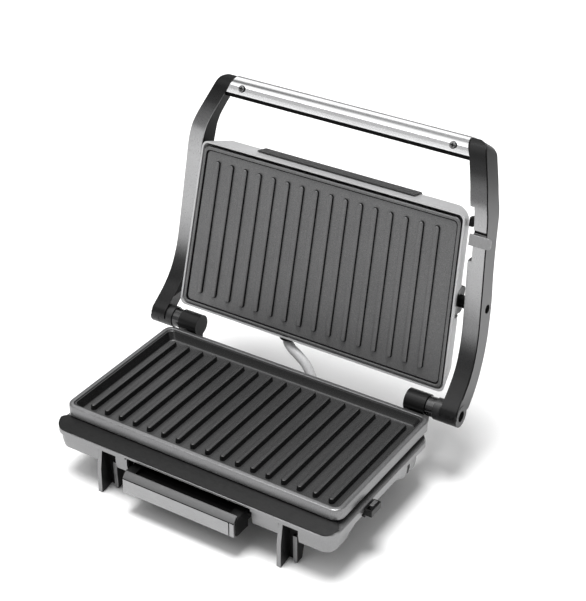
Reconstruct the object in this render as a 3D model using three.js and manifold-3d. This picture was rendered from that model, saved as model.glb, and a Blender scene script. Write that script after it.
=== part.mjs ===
// Panini press: a ribbed contact grill, its floating upper plate carried by two arms, shown open.
// Millimetres, +X right, +Y back, +Z up. The part's origin is on the table, under the middle of its box.
// The drawing frame used below has its origin at the top edge of the lower rim, middle of the front.
import * as THREE from 'three';
import { mergeVertices } from 'three/addons/utils/BufferGeometryUtils.js';
import Module from 'manifold-3d';

const wasm = await Module();
wasm.setup();

// ---------- driving dimensions ----------
const TABLE_Z = -54;                // table level in the drawing frame
const MIDDLE_Y = 92.8;              // middle of the whole object's depth
const GAP = 0.3;                    // air left between touching pieces

const PLATE_HALF = 115;             // half width of the lower rim
const PLATE_DEPTH = 127.2;          // front to back of the lower rim
const LIP_HALF = 117.5;             // half width of the housing's lip
const SKIRT_HALF = 115.6;           // half width of the housing's skirt
const SKIRT_FRONT = -10;
const SKIRT_BACK = 112;
const SKIRT_LOW = -29.5;            // skirt's lower edge at the corners
const LIP_FRONT = -12;
const LIP_BACK = 123;
const LIP_TOP = -12.2;             // at the sides and back; the front slopes on down
const LIP_LOW = -17.2;
const RIB_PITCH = 12.54;
const TRAY_HALF = 47.6;             // half width of the drip tray
const TRAY_FRONT = -23;
const LEG_X = 76;                   // middle of each leg's fin
const HINGE_Y = 136.2;              // lid hinge axis
const HINGE_Z = 2;
const BARREL_R = 8.3;
const LID_LEAN = THREE.MathUtils.degToRad(77.05);   // lid plate's slope in the open pose
const LID_Y = 141;                  // lower edge of the upper plate
const LID_Z = 13.1;
const UPPER_HALF = 111.3;
const UPPER_LENGTH = 129;
const COVER_DEPTH = 20;
const CROWN_DEPTH = 31;
const PIVOT_S = 62.7;               // tilt pivot, up the lid from its lower edge
const PIVOT_O = -21;                // and behind the plate's face
const ARM_WIDE = 13;
const HANDLE_S = 172;
const HANDLE_O = -21;
const HANDLE_R = 8.5;

// ---------- materials ----------
function material(color, roughness, metalness) {
  return new THREE.MeshStandardMaterial({ color, roughness, metalness });
}
const silver = () => material(0xbcbcbe, 0.42, 0.75);
const steel = () => material(0xd2d3d5, 0.25, 1.0);
const armGrey = () => material(0x77777a, 0.45, 0.6);
const nonStick = () => material(0x3c3d3f, 0.5, 0.25);
const rimGrey = () => material(0x9fa0a2, 0.45, 0.6);
const black = () => material(0x151516, 0.45, 0.0);
const darkSteel = () => material(0x55565a, 0.35, 0.8);
const rubber = () => material(0x1b1b1b, 0.9, 0.0);
const ceramic = () => material(0xe6e1d6, 0.7, 0.0);

// ---------- solids: joining and cutting ----------
function toSolid(geometry) {
  const g = geometry.clone();
  g.deleteAttribute('normal');
  g.deleteAttribute('uv');
  const merged = mergeVertices(g, 1e-4);
  return new wasm.Manifold(new wasm.Mesh({
    numProp: 3,
    vertProperties: new Float32Array(merged.attributes.position.array),
    triVerts: new Uint32Array(merged.index.array),
  }));
}

function toGeometry(solid) {
  const mesh = solid.getMesh();
  const g = new THREE.BufferGeometry();
  g.setAttribute('position', new THREE.BufferAttribute(new Float32Array(mesh.vertProperties), 3));
  g.setIndex(Array.from(mesh.triVerts));
  g.computeVertexNormals();
  return g;
}

function cut(geometry, ...tools) {
  return toGeometry(tools.reduce((solid, tool) => solid.subtract(toSolid(tool)), toSolid(geometry)));
}

function join(...pieces) {
  return toGeometry(pieces.map(toSolid).reduce((a, b) => a.add(b)));
}

// ---------- basic forms ----------
function box(x0, x1, y0, y1, z0, z1) {
  return new THREE.BoxGeometry(x1 - x0, y1 - y0, z1 - z0)
    .translate((x0 + x1) / 2, (y0 + y1) / 2, (z0 + z1) / 2);
}

// A closed loop at height z: a rectangle with round corners, n steps to a corner.
function ring(x, y0, y1, r, z, n = 4) {
  const corners = [[x - r, y0 + r, -90], [x - r, y1 - r, 0], [-x + r, y1 - r, 90], [-x + r, y0 + r, 180]];
  const points = [];
  for (const [cx, cy, from] of corners) {
    for (let i = 0; i <= n; i++) {
      const a = THREE.MathUtils.degToRad(from + (90 * i) / n);
      points.push([cx + r * Math.cos(a), cy + r * Math.sin(a), z]);
    }
  }
  return points;
}

// Joins loops of equal length into one skin. Open stacks are capped; a closed stack joins last to first.
function skin(rings, closed = false) {
  const n = rings[0].length;
  const points = rings.flat();
  const faces = [];
  const steps = closed ? rings.length : rings.length - 1;
  for (let k = 0; k < steps; k++) {
    const a = k * n;
    const b = ((k + 1) % rings.length) * n;
    for (let i = 0; i < n; i++) {
      const j = (i + 1) % n;
      faces.push(a + i, a + j, b + j, a + i, b + j, b + i);
    }
  }
  if (!closed) {
    for (const [start, turn] of [[0, -1], [(rings.length - 1) * n, 1]]) {
      for (let i = 1; i < n - 1; i++) {
        if (turn > 0) faces.push(start, start + i, start + i + 1);
        else faces.push(start, start + i + 1, start + i);
      }
    }
  }
  const g = new THREE.BufferGeometry();
  g.setAttribute('position', new THREE.BufferAttribute(new Float32Array(points.flat()), 3));
  g.setIndex(faces);
  return outward(g);
}

// Turns the faces round where the enclosed volume comes out negative.
function outward(g) {
  const p = g.attributes.position;
  const index = g.index.array;
  const [a, b, c] = [new THREE.Vector3(), new THREE.Vector3(), new THREE.Vector3()];
  let volume = 0;
  for (let i = 0; i < index.length; i += 3) {
    a.fromBufferAttribute(p, index[i]);
    b.fromBufferAttribute(p, index[i + 1]);
    c.fromBufferAttribute(p, index[i + 2]);
    volume += a.dot(b.cross(c));
  }
  if (volume < 0) {
    for (let i = 0; i < index.length; i += 3) {
      [index[i + 1], index[i + 2]] = [index[i + 2], index[i + 1]];
    }
  }
  g.computeVertexNormals();
  return g;
}

function outline(points) {
  return new THREE.Shape(points.map(([a, b]) => new THREE.Vector2(a, b)));
}

// A side profile in (y, z), carried across from x0 to x1.
function acrossX(points, x0, x1) {
  const g = new THREE.ExtrudeGeometry(outline(points), { depth: x1 - x0, bevelEnabled: false });
  const basis = new THREE.Matrix4().makeBasis(
    new THREE.Vector3(0, 1, 0), new THREE.Vector3(0, 0, 1), new THREE.Vector3(1, 0, 0));
  return g.applyMatrix4(basis).translate(x0, 0, 0);
}

// A front profile in (x, z), carried back from y0 to y1.
function alongY(points, y0, y1) {
  const g = new THREE.ExtrudeGeometry(outline(points), { depth: y1 - y0, bevelEnabled: false });
  const basis = new THREE.Matrix4().makeBasis(
    new THREE.Vector3(1, 0, 0), new THREE.Vector3(0, 0, 1), new THREE.Vector3(0, -1, 0));
  return g.applyMatrix4(basis).translate(0, y1, 0);
}

function cylinderX(r, x0, x1, y, z, n = 24) {
  return new THREE.CylinderGeometry(r, r, x1 - x0, n).rotateZ(-Math.PI / 2).translate((x0 + x1) / 2, y, z);
}

function cylinderZ(r, z0, z1, x, y, n = 20) {
  return new THREE.CylinderGeometry(r, r, z1 - z0, n).rotateX(Math.PI / 2).translate(x, y, (z0 + z1) / 2);
}

function mirrored(geometry) {
  const g = geometry.clone().scale(-1, 1, 1);
  return outward(g.index ? g : mergeVertices(g));
}

// A heating rod or lead: a round section swept along a smooth curve through the points.
function sweep(points, r, steps, sides = 8, closed = false) {
  const curve = new THREE.CatmullRomCurve3(points.map((p) => new THREE.Vector3(...p)), closed);
  const circle = new THREE.Shape();
  circle.absarc(0, 0, r, 0, 2 * Math.PI, false);
  const section = new THREE.Shape(circle.getPoints(sides / 2).slice(0, -1));
  return new THREE.ExtrudeGeometry(section, { steps, extrudePath: curve, curveSegments: sides });
}

// One grill rib: a bar with round ends and sloped flanks.
function rib(x, y0, y1, zFoot, zTop) {
  const footR = 2.2;
  const topR = 1.5;
  const loop = (r, z) => {
    const points = [];
    for (const [cy, from] of [[y1 - footR, 0], [y0 + footR, 180]]) {
      for (let i = 0; i <= 4; i++) {
        const a = THREE.MathUtils.degToRad(from + 45 * i);
        points.push([x + r * Math.cos(a), cy + r * Math.sin(a), z]);
      }
    }
    return points;
  };
  const shoulder = zTop - Math.sign(zTop - zFoot) * 0.9;
  return skin([loop(footR, zFoot), loop(footR - 0.3, shoulder), loop(topR - 0.4, zTop)]);
}

// ---------- scene ----------
const press = new THREE.Group();
press.position.set(0, -MIDDLE_Y, -TABLE_Z);
const lid = new THREE.Group();
lid.position.set(0, LID_Y, LID_Z);
lid.rotation.x = LID_LEAN;
press.add(lid);

function add(name, geometry, mat, group = press) {
  const mesh = new THREE.Mesh(geometry, mat);
  mesh.name = name;
  group.add(mesh);
}

function addPair(name, geometry, mat, group = press) {
  add(`${name}_right`, geometry, mat(), group);
  add(`${name}_left`, mirrored(geometry), mat(), group);
}

// ---------- base housing ----------
// Side openings under the skirt, between its front and rear feet.
const ARCH = [[12.5, -40], [12.5, SKIRT_LOW], [15, -24.6], [20, -22.3], [76, -22.3],
  [80, -24], [88, SKIRT_LOW], [88, -40]];

function baseHousing() {
  const lip = skin([ring(LIP_HALF, LIP_FRONT, LIP_BACK, 11, LIP_LOW),
    ring(LIP_HALF, LIP_FRONT, LIP_BACK, 11, LIP_TOP - 1),
    ring(LIP_HALF - 0.8, LIP_FRONT + 0.8, LIP_BACK - 0.8, 10.2, LIP_TOP)]);
  const skirt = skin([ring(SKIRT_HALF - 1.2, SKIRT_FRONT + 1.2, SKIRT_BACK - 1, 8, SKIRT_LOW),
    ring(SKIRT_HALF, SKIRT_FRONT, SKIRT_BACK, 9, SKIRT_LOW + 6),
    ring(SKIRT_HALF, SKIRT_FRONT, SKIRT_BACK, 9, LIP_LOW + 1)]);
  const shelf = acrossX([[-9, -13.5], [-7.6, -12.2], [-1.5, -9.9], [1, -9.9], [1, -13.5]], -112, 112);
  const bevel = acrossX([[-30, -20.8], [-7.6, -12.2], [-1.5, -9.88], [-1.5, 0], [-30, 0]], -130, 130);
  const hollow = skin([ring(SKIRT_HALF - 2.6, SKIRT_FRONT + 2.6, SKIRT_BACK - 2.4, 6, -40),
    ring(SKIRT_HALF - 2.6, SKIRT_FRONT + 2.6, SKIRT_BACK - 2.4, 6, LIP_LOW + 0.3)]);
  const mouth = skin([ring(111, 2.4, SKIRT_BACK - 2.6, 6, -20), ring(111, 2.4, SKIRT_BACK - 2.6, 6, -5)]);
  const trayGate = box(-TRAY_HALF - 5, TRAY_HALF + 5, -20, -3, -40, -15.3);
  const legGate = (x) => box(x - 2.1, x + 13.4, -20, -3, -40, LIP_LOW + 0.05);
  const sideArch = (x0, x1) => acrossX(ARCH, x0, x1);
  const footSlot = (x0, x1) => box(x0, x1, 92, 95.4, -40, -19.5);
  return cut(join(lip, skirt, shelf), bevel, hollow, mouth, trayGate, legGate(LEG_X), legGate(-LEG_X),
    sideArch(100, 130), sideArch(-130, -100), footSlot(100, 130), footSlot(-130, -100));
}
add('base_housing', baseHousing(), silver());

// Dark strip on the sloped front, round at its two ends.
function frontFascia() {
  const r = 9;
  const plan = [];
  for (const [cx, from] of [[-PLATE_HALF - 1.8 + r, 180], [PLATE_HALF + 1.8 - r, 270]]) {
    for (let i = 0; i <= 5; i++) {
      const a = THREE.MathUtils.degToRad(from + 18 * i);
      plan.push([cx + r * Math.cos(a), LIP_FRONT + 0.4 + r + r * Math.sin(a)]);
    }
  }
  plan.push([PLATE_HALF - 2, 1.6], [-PLATE_HALF + 2, 1.6]);
  const slab = new THREE.ExtrudeGeometry(outline(plan), { depth: 12, bevelEnabled: false }).translate(0, 0, -18);
  const line = (y, up) => [y, -9.9 + 0.381 * (y + 1.5) + up];
  const wedge = acrossX([line(-20, GAP), line(-1.5, GAP), [4, -9.9 + GAP], [4, -9.25], [-1.2, -9.25],
    line(-20, 1)], -130, 130);
  return toGeometry(toSolid(slab).intersect(toSolid(wedge)));
}
add('front_fascia', frontFascia(), material(0x4a4a4c, 0.4, 0.7));

function bezel() {
  return skin([ring(113.4, 2.0, 121.6, 7, LIP_TOP + GAP), ring(113.4, 2.0, 121.6, 7, -9.3),
    ring(110.6, 4.8, 118.8, 5, -9.3), ring(110.6, 4.8, 118.8, 5, LIP_TOP + GAP)], true);
}
add('plate_bezel', bezel(), black());

// ---------- lower plate ----------
function lowerRim() {
  const d = PLATE_DEPTH;
  const h = PLATE_HALF;
  return skin([ring(h - 0.6, 0.6, d - 0.6, 7.4, -8.9), ring(h, 0, d, 8, -8.2), ring(h, 0, d, 8, -1.2),
    ring(h - 1, 1, d - 1, 7, 0), ring(h - 3.4, 3.4, d - 3.4, 4.6, 0), ring(h - 3.8, 3.8, d - 3.8, 4.2, -8.9)],
  true);
}
add('lower_rim', lowerRim(), rimGrey());

const DRAIN = { x: 3.6, y0: 5.6, y1: 9.2 };

function lowerPlate() {
  const d = PLATE_DEPTH;
  const h = PLATE_HALF;
  const pan = skin([ring(h - 8, 8, d - 8, 4, -7), ring(h - 4.9, 4.9, d - 4.9, 4, -0.9),
    ring(h - 4.1, 4.1, d - 4.1, 4, -0.9), ring(h - 4.1, 4.1, d - 4.1, 4, -9),
    ring(h - 5.6, 6, 116.8, 4, -9.4), ring(h - 6, 6.4, 116.4, 4, -10.2)]);
  const ribs = [];
  for (let i = 0; i < 17; i++) {
    ribs.push(rib((i - 8) * RIB_PITCH, 12.4, PLATE_DEPTH - 12.4, -7.6, -3.2));
  }
  return cut(join(pan, ...ribs), box(-DRAIN.x, DRAIN.x, DRAIN.y0 + 3, DRAIN.y1 + 2.6, -12, -5));
}
add('lower_plate', lowerPlate(), nonStick());

function elementRoute(half, y0, y1, z) {
  const points = [[-12, y0 - 2, z], [-24, y0, z], [-half + 14, y0, z]];
  points.push([-half, y0 + 16, z], [-half, y1 - 16, z], [-half + 14, y1, z], [0, y1, z], [half - 14, y1, z]);
  points.push([half, y1 - 16, z], [half, y0 + 16, z], [half - 14, y0, z], [24, y0, z], [12, y0 - 2, z]);
  return points;
}
add('lower_element', sweep(elementRoute(86, 26, 100, -13.3), 2.7, 60), darkSteel());

function heatShield() {
  return skin([ring(104, 8, 108.6, 5, -17.2), ring(104, 8, 108.6, 5, -16.6)]);
}
add('lower_heat_shield', cut(heatShield(), box(-5, 5, 7, 20, -20, -14)), steel());

const BASE_SCREWS = [[96, 14], [96, 102], [-96, 102], [-96, 14]];

// Floor of the base with a raised tunnel and two ledges for the drip tray.
function bottomCover() {
  const t = 1.4;
  const inner = TRAY_HALF + 1;
  const half = SKIRT_HALF - 2.9;
  const rimLow = -21.8;
  const low = -27.6;
  const ceiling = -19;
  const over = [[half, rimLow], [half, rimLow + t], [104, rimLow + t], [104, low + t], [inner + t, low + t],
    [inner + t, ceiling + t]];
  const under = [[inner, ceiling], [inner, -24.2], [inner - 3.2, -24.2], [inner - 3.2, -25.4], [inner, -25.4],
    [inner, low], [104 + t, low], [104 + t, rimLow]];
  const swap = (points) => points.map(([x, z]) => [-x, z]).reverse();
  const floor = alongY([...over, ...swap(over), ...swap(under), ...under], -6.4, SKIRT_BACK - 2.8);
  const screwHoles = BASE_SCREWS.map(([x, y]) => cylinderZ(1.9, -32, -20, x, y, 12));
  const corners = skin([ring(half, -6.4, SKIRT_BACK - 2.8, 5, -40), ring(half, -6.4, SKIRT_BACK - 2.8, 5, 0)]);
  const trimmed = toGeometry(toSolid(floor).intersect(toSolid(corners)));
  return cut(trimmed, box(-5, 5, 5, 20, -22, -16), box(LEG_X - 2.4, LEG_X + 10, -8, 1.8, -30, -10),
    box(-LEG_X - 2.4, -LEG_X + 10, -8, 1.8, -30, -10), ...screwHoles);
}
add('bottom_cover', bottomCover(), black());

// ---------- legs ----------
// Front leg: a forward fin, a web across behind it and a second fin set back.
function frontLeg(x) {
  const fin = acrossX([[-10, -17.5], [-12.6, -34], [-13, TABLE_Z], [-10, TABLE_Z], [-1.4, TABLE_Z + 1.5],
    [-1.4, -17.5]], x - 1.7, x + 1.6);
  const web = acrossX([[-1.6, -17.5], [-1.6, TABLE_Z + 1.5], [0.8, TABLE_Z + 1.5], [0.8, -17.5]], x - 1.7, x + 8.6);
  const rear = acrossX([[0.6, -31], [-3.8, -31], [-3.4, TABLE_Z + 0.4], [3, TABLE_Z + 1], [8.5, -31]],
    x + 5.6, x + 8.8);
  return join(fin, web, rear);
}
add('front_leg_right', frontLeg(LEG_X), silver());
add('front_leg_left', frontLeg(-LEG_X), silver());

// Rear legs stand behind the back wall, under the hinge, so that the open lid can't tip the press.
const FOOT_Y = 126;
function rearLeg() {
  const post = skin([ring(9, FOOT_Y - 8, FOOT_Y + 8, 3, TABLE_Z + 5.5),
    ring(9.4, SKIRT_BACK + GAP, FOOT_Y + 7, 3, LIP_LOW - GAP)]).translate(LEG_X, 0, 0);
  return cut(post, cylinderZ(2.1, TABLE_Z - 1, TABLE_Z + 14, LEG_X, FOOT_Y, 12));
}
addPair('rear_leg', rearLeg(), black);

function rearFoot() {
  const pad = new THREE.CylinderGeometry(7.2, 8, 5.2, 20).rotateX(Math.PI / 2);
  return join(pad.translate(LEG_X, FOOT_Y, TABLE_Z + 2.6), cylinderZ(1.8, TABLE_Z + 5, TABLE_Z + 12, LEG_X, FOOT_Y, 12));
}
addPair('rear_foot', rearFoot(), rubber);

// ---------- hinge ----------
function hingeBarrel() {
  const web = acrossX([[SKIRT_BACK + GAP, -27], [SKIRT_BACK + GAP, LIP_LOW - GAP], [124, LIP_LOW - GAP],
    [129.2, -8], [134, -5.4], [141, -4], [139, -14], [130, -27]], 92.5, 106.5);
  return cut(join(web, cylinderX(BARREL_R, 91, 107.5, HINGE_Y, HINGE_Z, 32)),
    cylinderX(3.3, 93.5, 115, HINGE_Y, HINGE_Z, 20));
}
addPair('hinge_barrel', hingeBarrel(), black);

function hingeRing() {
  return cut(cylinderX(7.4, 107.8, 114, HINGE_Y, HINGE_Z, 32), cylinderX(3.3, 107, 115, HINGE_Y, HINGE_Z, 20));
}
addPair('hinge_ring', hingeRing(), steel);

addPair('hinge_pin', cylinderX(3, 93.9, 128, HINGE_Y, HINGE_Z, 20), steel);

// ---------- arms ----------
// Front and back edges of an arm, seen from the side, from the hub up to the handle.
const ARM_FRONT = [[127.7, 2.4], [128.6, 6.8], [132, 10.9], [141, 18], [149, 26], [156, 37], [161.5, 53], [165, 73],
  [168.4, 95], [172.4, 122], [175.6, 143], [178, 152], [184.4, 164], [190.4, 175], [194.6, 181.4], [200.6, 184.7]];
const ARM_BACK = [[147, 3], [161, 17], [173.6, 39], [181.4, 67], [184.8, 95], [188.6, 117], [192.8, 137], [194.6, 149],
  [198.4, 158], [203, 167], [208.6, 177.8]];
const ARM_AT = [...Array(17).keys()].map((i) => i / 17).concat([0.968, 0.986, 0.995, 1]);
const ARM_LENGTH = 214;
const ARM_END_R = 7;                // round outer corner at the top end

function smooth(points) {
  const curve = new THREE.SplineCurve(points.map(([a, b]) => new THREE.Vector2(a, b)));
  return ARM_AT.map((u) => curve.getPointAt(u)).map((p) => [p.x, p.y]);
}

function inset(points, distance) {
  return points.map((p, i) => {
    const a = points[Math.max(i - 1, 0)];
    const b = points[Math.min(i + 1, points.length - 1)];
    const length = Math.hypot(b[0] - a[0], b[1] - a[1]);
    return [p[0] + (distance * (b[1] - a[1])) / length, p[1] - (distance * (b[0] - a[0])) / length];
  });
}

// The arms stand closer together towards the handle, past a soft knee.
const KNEE_Z = 147;
const KNEE_BLEND = 14;
function armOuter(z) {
  const past = Math.max(z - KNEE_Z + KNEE_BLEND, 0);
  const bend = past < 2 * KNEE_BLEND ? (past * past) / (4 * KNEE_BLEND) : z - KNEE_Z;
  return 133.5 - 0.06 * Math.max(z - 5, 0) - 0.33 * bend;
}

// How far the outer face draws in on the round corner at step i.
function endInset(i) {
  const left = Math.min((1 - ARM_AT[i]) * ARM_LENGTH + 0.3, ARM_END_R);
  return ARM_END_R - Math.sqrt(ARM_END_R ** 2 - (ARM_END_R - left) ** 2);
}

// A solid between two edges of the side view, from x0 to x1 as measured from the arm's outer face.
function armLoft(front, back, x0, x1, first = 0) {
  return skin(front.map(([fy, fz], i) => {
    const [by, bz] = back[i];
    const f = armOuter(fz);
    const b = armOuter(bz);
    const end = x1 > -1 ? endInset(first + i) : 0;
    return [[x0 + f, fy, fz], [x1 + f - end, fy, fz], [x1 + b - end, by, bz], [x0 + b, by, bz]];
  }));
}

const frontEdge = smooth(ARM_FRONT);
const backEdge = smooth(ARM_BACK);
const pivotY = LID_Y + PIVOT_S * Math.cos(LID_LEAN) - PIVOT_O * Math.sin(LID_LEAN);
const pivotZ = LID_Z + PIVOT_S * Math.sin(LID_LEAN) + PIVOT_O * Math.cos(LID_LEAN);
const SLIDER_Z = [119.4, 127.6];    // lower and upper edge of the lock slider
const NOTCH_Z = [107, 146];         // stretch where the right arm is narrower inside
const NOTCH = 3;

// Takes the inner notch out of the right arm's pieces.
function notched(geometry) {
  const inner = (z) => armOuter(z) - ARM_WIDE + NOTCH;
  const [low, high] = NOTCH_Z;
  return cut(geometry, alongY([[90, low], [inner(low), low], [inner(high), high], [90, high]], 120, 220));
}

function armCore(innerFace, extra = []) {
  const side = armLoft(inset(frontEdge, 1.2), backEdge, innerFace, 0);
  const hub = cylinderX(8.2, 114.3, 133.5, HINGE_Y, HINGE_Z, 32);
  const trimSeat = armLoft(inset(frontEdge, -2), inset(frontEdge, 1.2), -ARM_WIDE - 1, 1.5);
  return cut(join(side, hub, ...extra), trimSeat, cylinderX(3.3, 110, 129.4, HINGE_Y, HINGE_Z, 20),
    cylinderX(4.2, 129.3, 140, HINGE_Y, HINGE_Z, 20),
    cylinderX(2.8, 100, 140, pivotY, pivotZ, 16), cylinderX(3.4, armOuter(pivotZ) - 5, 140, pivotY, pivotZ, 16));
}

function armCoreRight() {
  const count = frontEdge.findIndex(([, z]) => z > NOTCH_Z[0] + 3) + 1;
  const inner = armLoft(inset(frontEdge, 1.2).slice(0, count), backEdge.slice(0, count), -ARM_WIDE, 3 - ARM_WIDE);
  return notched(armCore(1.9 - ARM_WIDE, [inner]));
}
add('arm_right', armCoreRight(), armGrey());
add('arm_left', mirrored(armCore(1.9 - ARM_WIDE)), armGrey());

// Brushed strip down the front; on the right arm a slot across it leaves room above the lock slider.
function trimPiece(name, z0, z1, slotZ) {
  const strip = toSolid(armLoft(frontEdge, inset(frontEdge, 0.9), -ARM_WIDE, -0.6));
  const kept = (from, to) => toGeometry(strip.intersect(toSolid(box(90, 140, 120, 215, from, to))));
  const finish = () => material(0xb4b5b7, 0.35, 0.9);
  add(`${name}_right`, notched(kept(slotZ ?? z0, z1)), finish());
  add(`${name}_left`, mirrored(kept(z0, z1)), finish());
}
trimPiece('arm_trim_lower', -10, SLIDER_Z[1] + GAP);
trimPiece('arm_trim_upper', SLIDER_Z[1] + 2 * GAP, 200, SLIDER_Z[1] + 2.3);

// Black inner face of an arm.
function armLiner(from) {
  const first = Math.max(frontEdge.findIndex(([, z]) => z > from), 2);
  const plate = armLoft(inset(frontEdge, 1.3).slice(first, -2), inset(backEdge, -0.8).slice(first, -2), -ARM_WIDE,
    0.9 - ARM_WIDE);
  return cut(plate, cylinderX(4.4, 100, 140, pivotY, pivotZ, 16));
}
add('arm_liner_right', armLiner(NOTCH_Z[1] + 1), black());
add('arm_liner_left', mirrored(armLiner(0)), black());

// Lock slider: a flat bar across the front of the right arm, standing out past its side.
function lockSlider() {
  const x = armOuter(124);
  const front = (z) => 172.1 + 0.15 * (z - 122) - 0.45;
  const [low, high] = SLIDER_Z;
  return acrossX([[front(low) - 1.7, low + 0.2], [front(low), low], [front(high), high], [front(high) - 1.7, high + 0.2]],
    x - ARM_WIDE + 0.8, x + 4.6);
}
add('lock_slider', lockSlider(), material(0xa6a7a9, 0.4, 0.5));

// ---------- handle ----------
function handleProfile(r, top, flat) {
  const points = [[flat, HANDLE_O + r]];
  for (let i = 0; i <= 12; i++) {
    const a = THREE.MathUtils.degToRad(15 * i);
    points.push([top + r * Math.sin(a), HANDLE_O + r * Math.cos(a)]);
  }
  points.push([flat, HANDLE_O - r]);
  return points;
}

// A bar across the lid's frame with this side profile in (s, o), its ends slanted to meet the arms.
function betweenArms(profile) {
  const half = (s, o) => armOuter(LID_Z + s * Math.sin(LID_LEAN) + o * Math.cos(LID_LEAN)) - ARM_WIDE - GAP;
  return skin([1, -1].map((side) => profile.map(([s, o]) => [side * half(s, o), s, o])));
}

const SCREW_X = 87.5;
const SCREW_LEAN = THREE.MathUtils.degToRad(12);

// Leans a form that stands on the handle's front round the handle's own axis.
function leaned(geometry) {
  return geometry.translate(0, -HANDLE_S, -HANDLE_O).rotateX(-SCREW_LEAN).translate(0, HANDLE_S, HANDLE_O);
}

function handleCover() {
  const outer = handleProfile(HANDLE_R, HANDLE_S, HANDLE_S - 3.1);
  const inner = handleProfile(HANDLE_R - 1, HANDLE_S, HANDLE_S - 5);
  const hole = (x) => leaned(cylinderZ(1.7, HANDLE_O + 2, HANDLE_O + 12, x, HANDLE_S, 14));
  const bar = toSolid(betweenArms(outer)).subtract(toSolid(acrossX(inner, -120, 120)));
  return cut(toGeometry(bar), hole(SCREW_X), hole(-SCREW_X));
}
add('handle_cover', handleCover(), steel(), lid);

function handleCore() {
  const r = HANDLE_R - 1 - GAP;
  const core = handleProfile(r, HANDLE_S, HANDLE_S - 6.2);
  const hole = (x) => leaned(cylinderZ(1.7, HANDLE_O - 2, HANDLE_O + 12, x, HANDLE_S, 14));
  return cut(betweenArms(core), hole(SCREW_X), hole(-SCREW_X));
}
add('handle_core', handleCore(), black(), lid);

function handleScrew(x) {
  const head = cylinderZ(2.7, HANDLE_O + HANDLE_R + 0.1, HANDLE_O + HANDLE_R + 1.2, 0, 0, 18);
  const shank = cylinderZ(1.3, HANDLE_O - 1, HANDLE_O + HANDLE_R + 0.3, 0, 0, 12);
  const slots = [box(-2, 2, -0.35, 0.35, HANDLE_O + HANDLE_R + 0.6, 0), box(-0.35, 0.35, -2, 2,
    HANDLE_O + HANDLE_R + 0.6, 0)];
  return leaned(cut(join(head, shank), ...slots).translate(x, HANDLE_S, 0));
}
add('handle_screw_right', handleScrew(SCREW_X), steel(), lid);
add('handle_screw_left', handleScrew(-SCREW_X), steel(), lid);

// ---------- lid ----------
// The lid is a little narrower at its top edge than at the hinge side.
function tapered(geometry) {
  const g = geometry.clone();
  const p = g.attributes.position;
  for (let i = 0; i < p.count; i++) {
    p.setX(i, p.getX(i) * (1.0022 - 0.000384 * (p.getY(i) - UPPER_LENGTH / 2)));
  }
  return g;
}

// Outline of the pivot bush, seen along X, grown by g.
function bushOutline(g) {
  return ring(10.4 + g, -28 - g, -8 + g, 4, 0).map(([u, o]) => [PIVOT_S + u, o]);
}

function lidCover() {
  const t = 1.3;
  const outer = [ring(112.4, -1, 131.4, 5, -1.6), ring(108, 1.6, 131.2, 11, -COVER_DEPTH),
    ring(99, 11, 121.5, 9, -CROWN_DEPTH + 3), ring(88, 22, 111, 7, -CROWN_DEPTH)];
  const inner = [ring(88 - t, 22 + t, 111 - t, 6, -CROWN_DEPTH + t), ring(99 - t, 11 + t, 121.5 - t, 8, -CROWN_DEPTH + 3.6),
    ring(108 - t, 1.6 + t, 131.2 - t, 10, -COVER_DEPTH + 0.6), ring(112.4 - t, -1 + t, 131.4 - t, 4.2, -1.6)];
  const bushSeat = (x0, x1) => acrossX(bushOutline(GAP), x0, x1);
  const leadHole = new THREE.CylinderGeometry(6.2, 6.2, 20, 20).translate(-20, 0, -8);
  return cut(tapered(skin([...inner, ...outer])), bushSeat(102.1, 120), bushSeat(-120, -102.1), leadHole);
}
add('lid_cover', lidCover(), silver(), lid);

function upperPlate() {
  const h = UPPER_HALF - 1.3;
  const d = UPPER_LENGTH;
  const steps = [[3.4, 3.2, -2.6], [3.2, 3.2, -3], [2.5, 3.2, -3], [2.3, 3.4, -1.3], [1, 4, -1.3], [0, 4.6, -2.1],
    [1.4, 4.6, -6], [3.8, 4.6, -6.6]];
  const pan = skin(steps.map(([k, r, z]) => ring(h - k, 1.1 + k, d - 1.1 - k, r, z)));
  const ribs = [];
  for (let i = 0; i < 16; i++) {
    ribs.push(rib((i - 7.5) * RIB_PITCH - 2.2, 11.4, d - 10.6, -3.2, -0.5));
  }
  return tapered(join(pan, ...ribs));
}
add('upper_plate', upperPlate(), nonStick(), lid);

add('upper_element', sweep(elementRoute(84, 26, 102, -9.6), 2.7, 60), darkSteel(), lid);
add('upper_heat_shield', skin([ring(101, 8, 121, 5, -14.2), ring(101, 8, 121, 5, -13.6)]), steel(), lid);

// Dark panel on the cover, wrapping from its crown over the edge above the plate.
function controlInlay() {
  return acrossX([[131.7, -9], [131.55, -20.1], [121.9, -28.6], [114, -30.6], [114.2, -31.7], [122.4, -29.7],
    [132.7, -20.5], [132.8, -9]], -66, 66);
}
add('control_inlay', controlInlay(), material(0x1d1d1f, 0.3, 0.1), lid);

function lampLens(x) {
  const dome = new THREE.LatheGeometry([[0, 0], [3.2, 0], [3.2, 0.8], [2.2, 1.6], [0, 2]].map(
    ([a, b]) => new THREE.Vector2(a, b)), 18);
  const tilt = Math.atan2(8.3, 9.7);
  return mergeVertices(dome).rotateX(-Math.PI / 2 + tilt).translate(x, 127.6, -25.7);
}
add('lamp_power', lampLens(-14), material(0xb02318, 0.2, 0.0), lid);
add('lamp_ready', lampLens(14), material(0x2f9a3a, 0.2, 0.0), lid);

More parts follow.
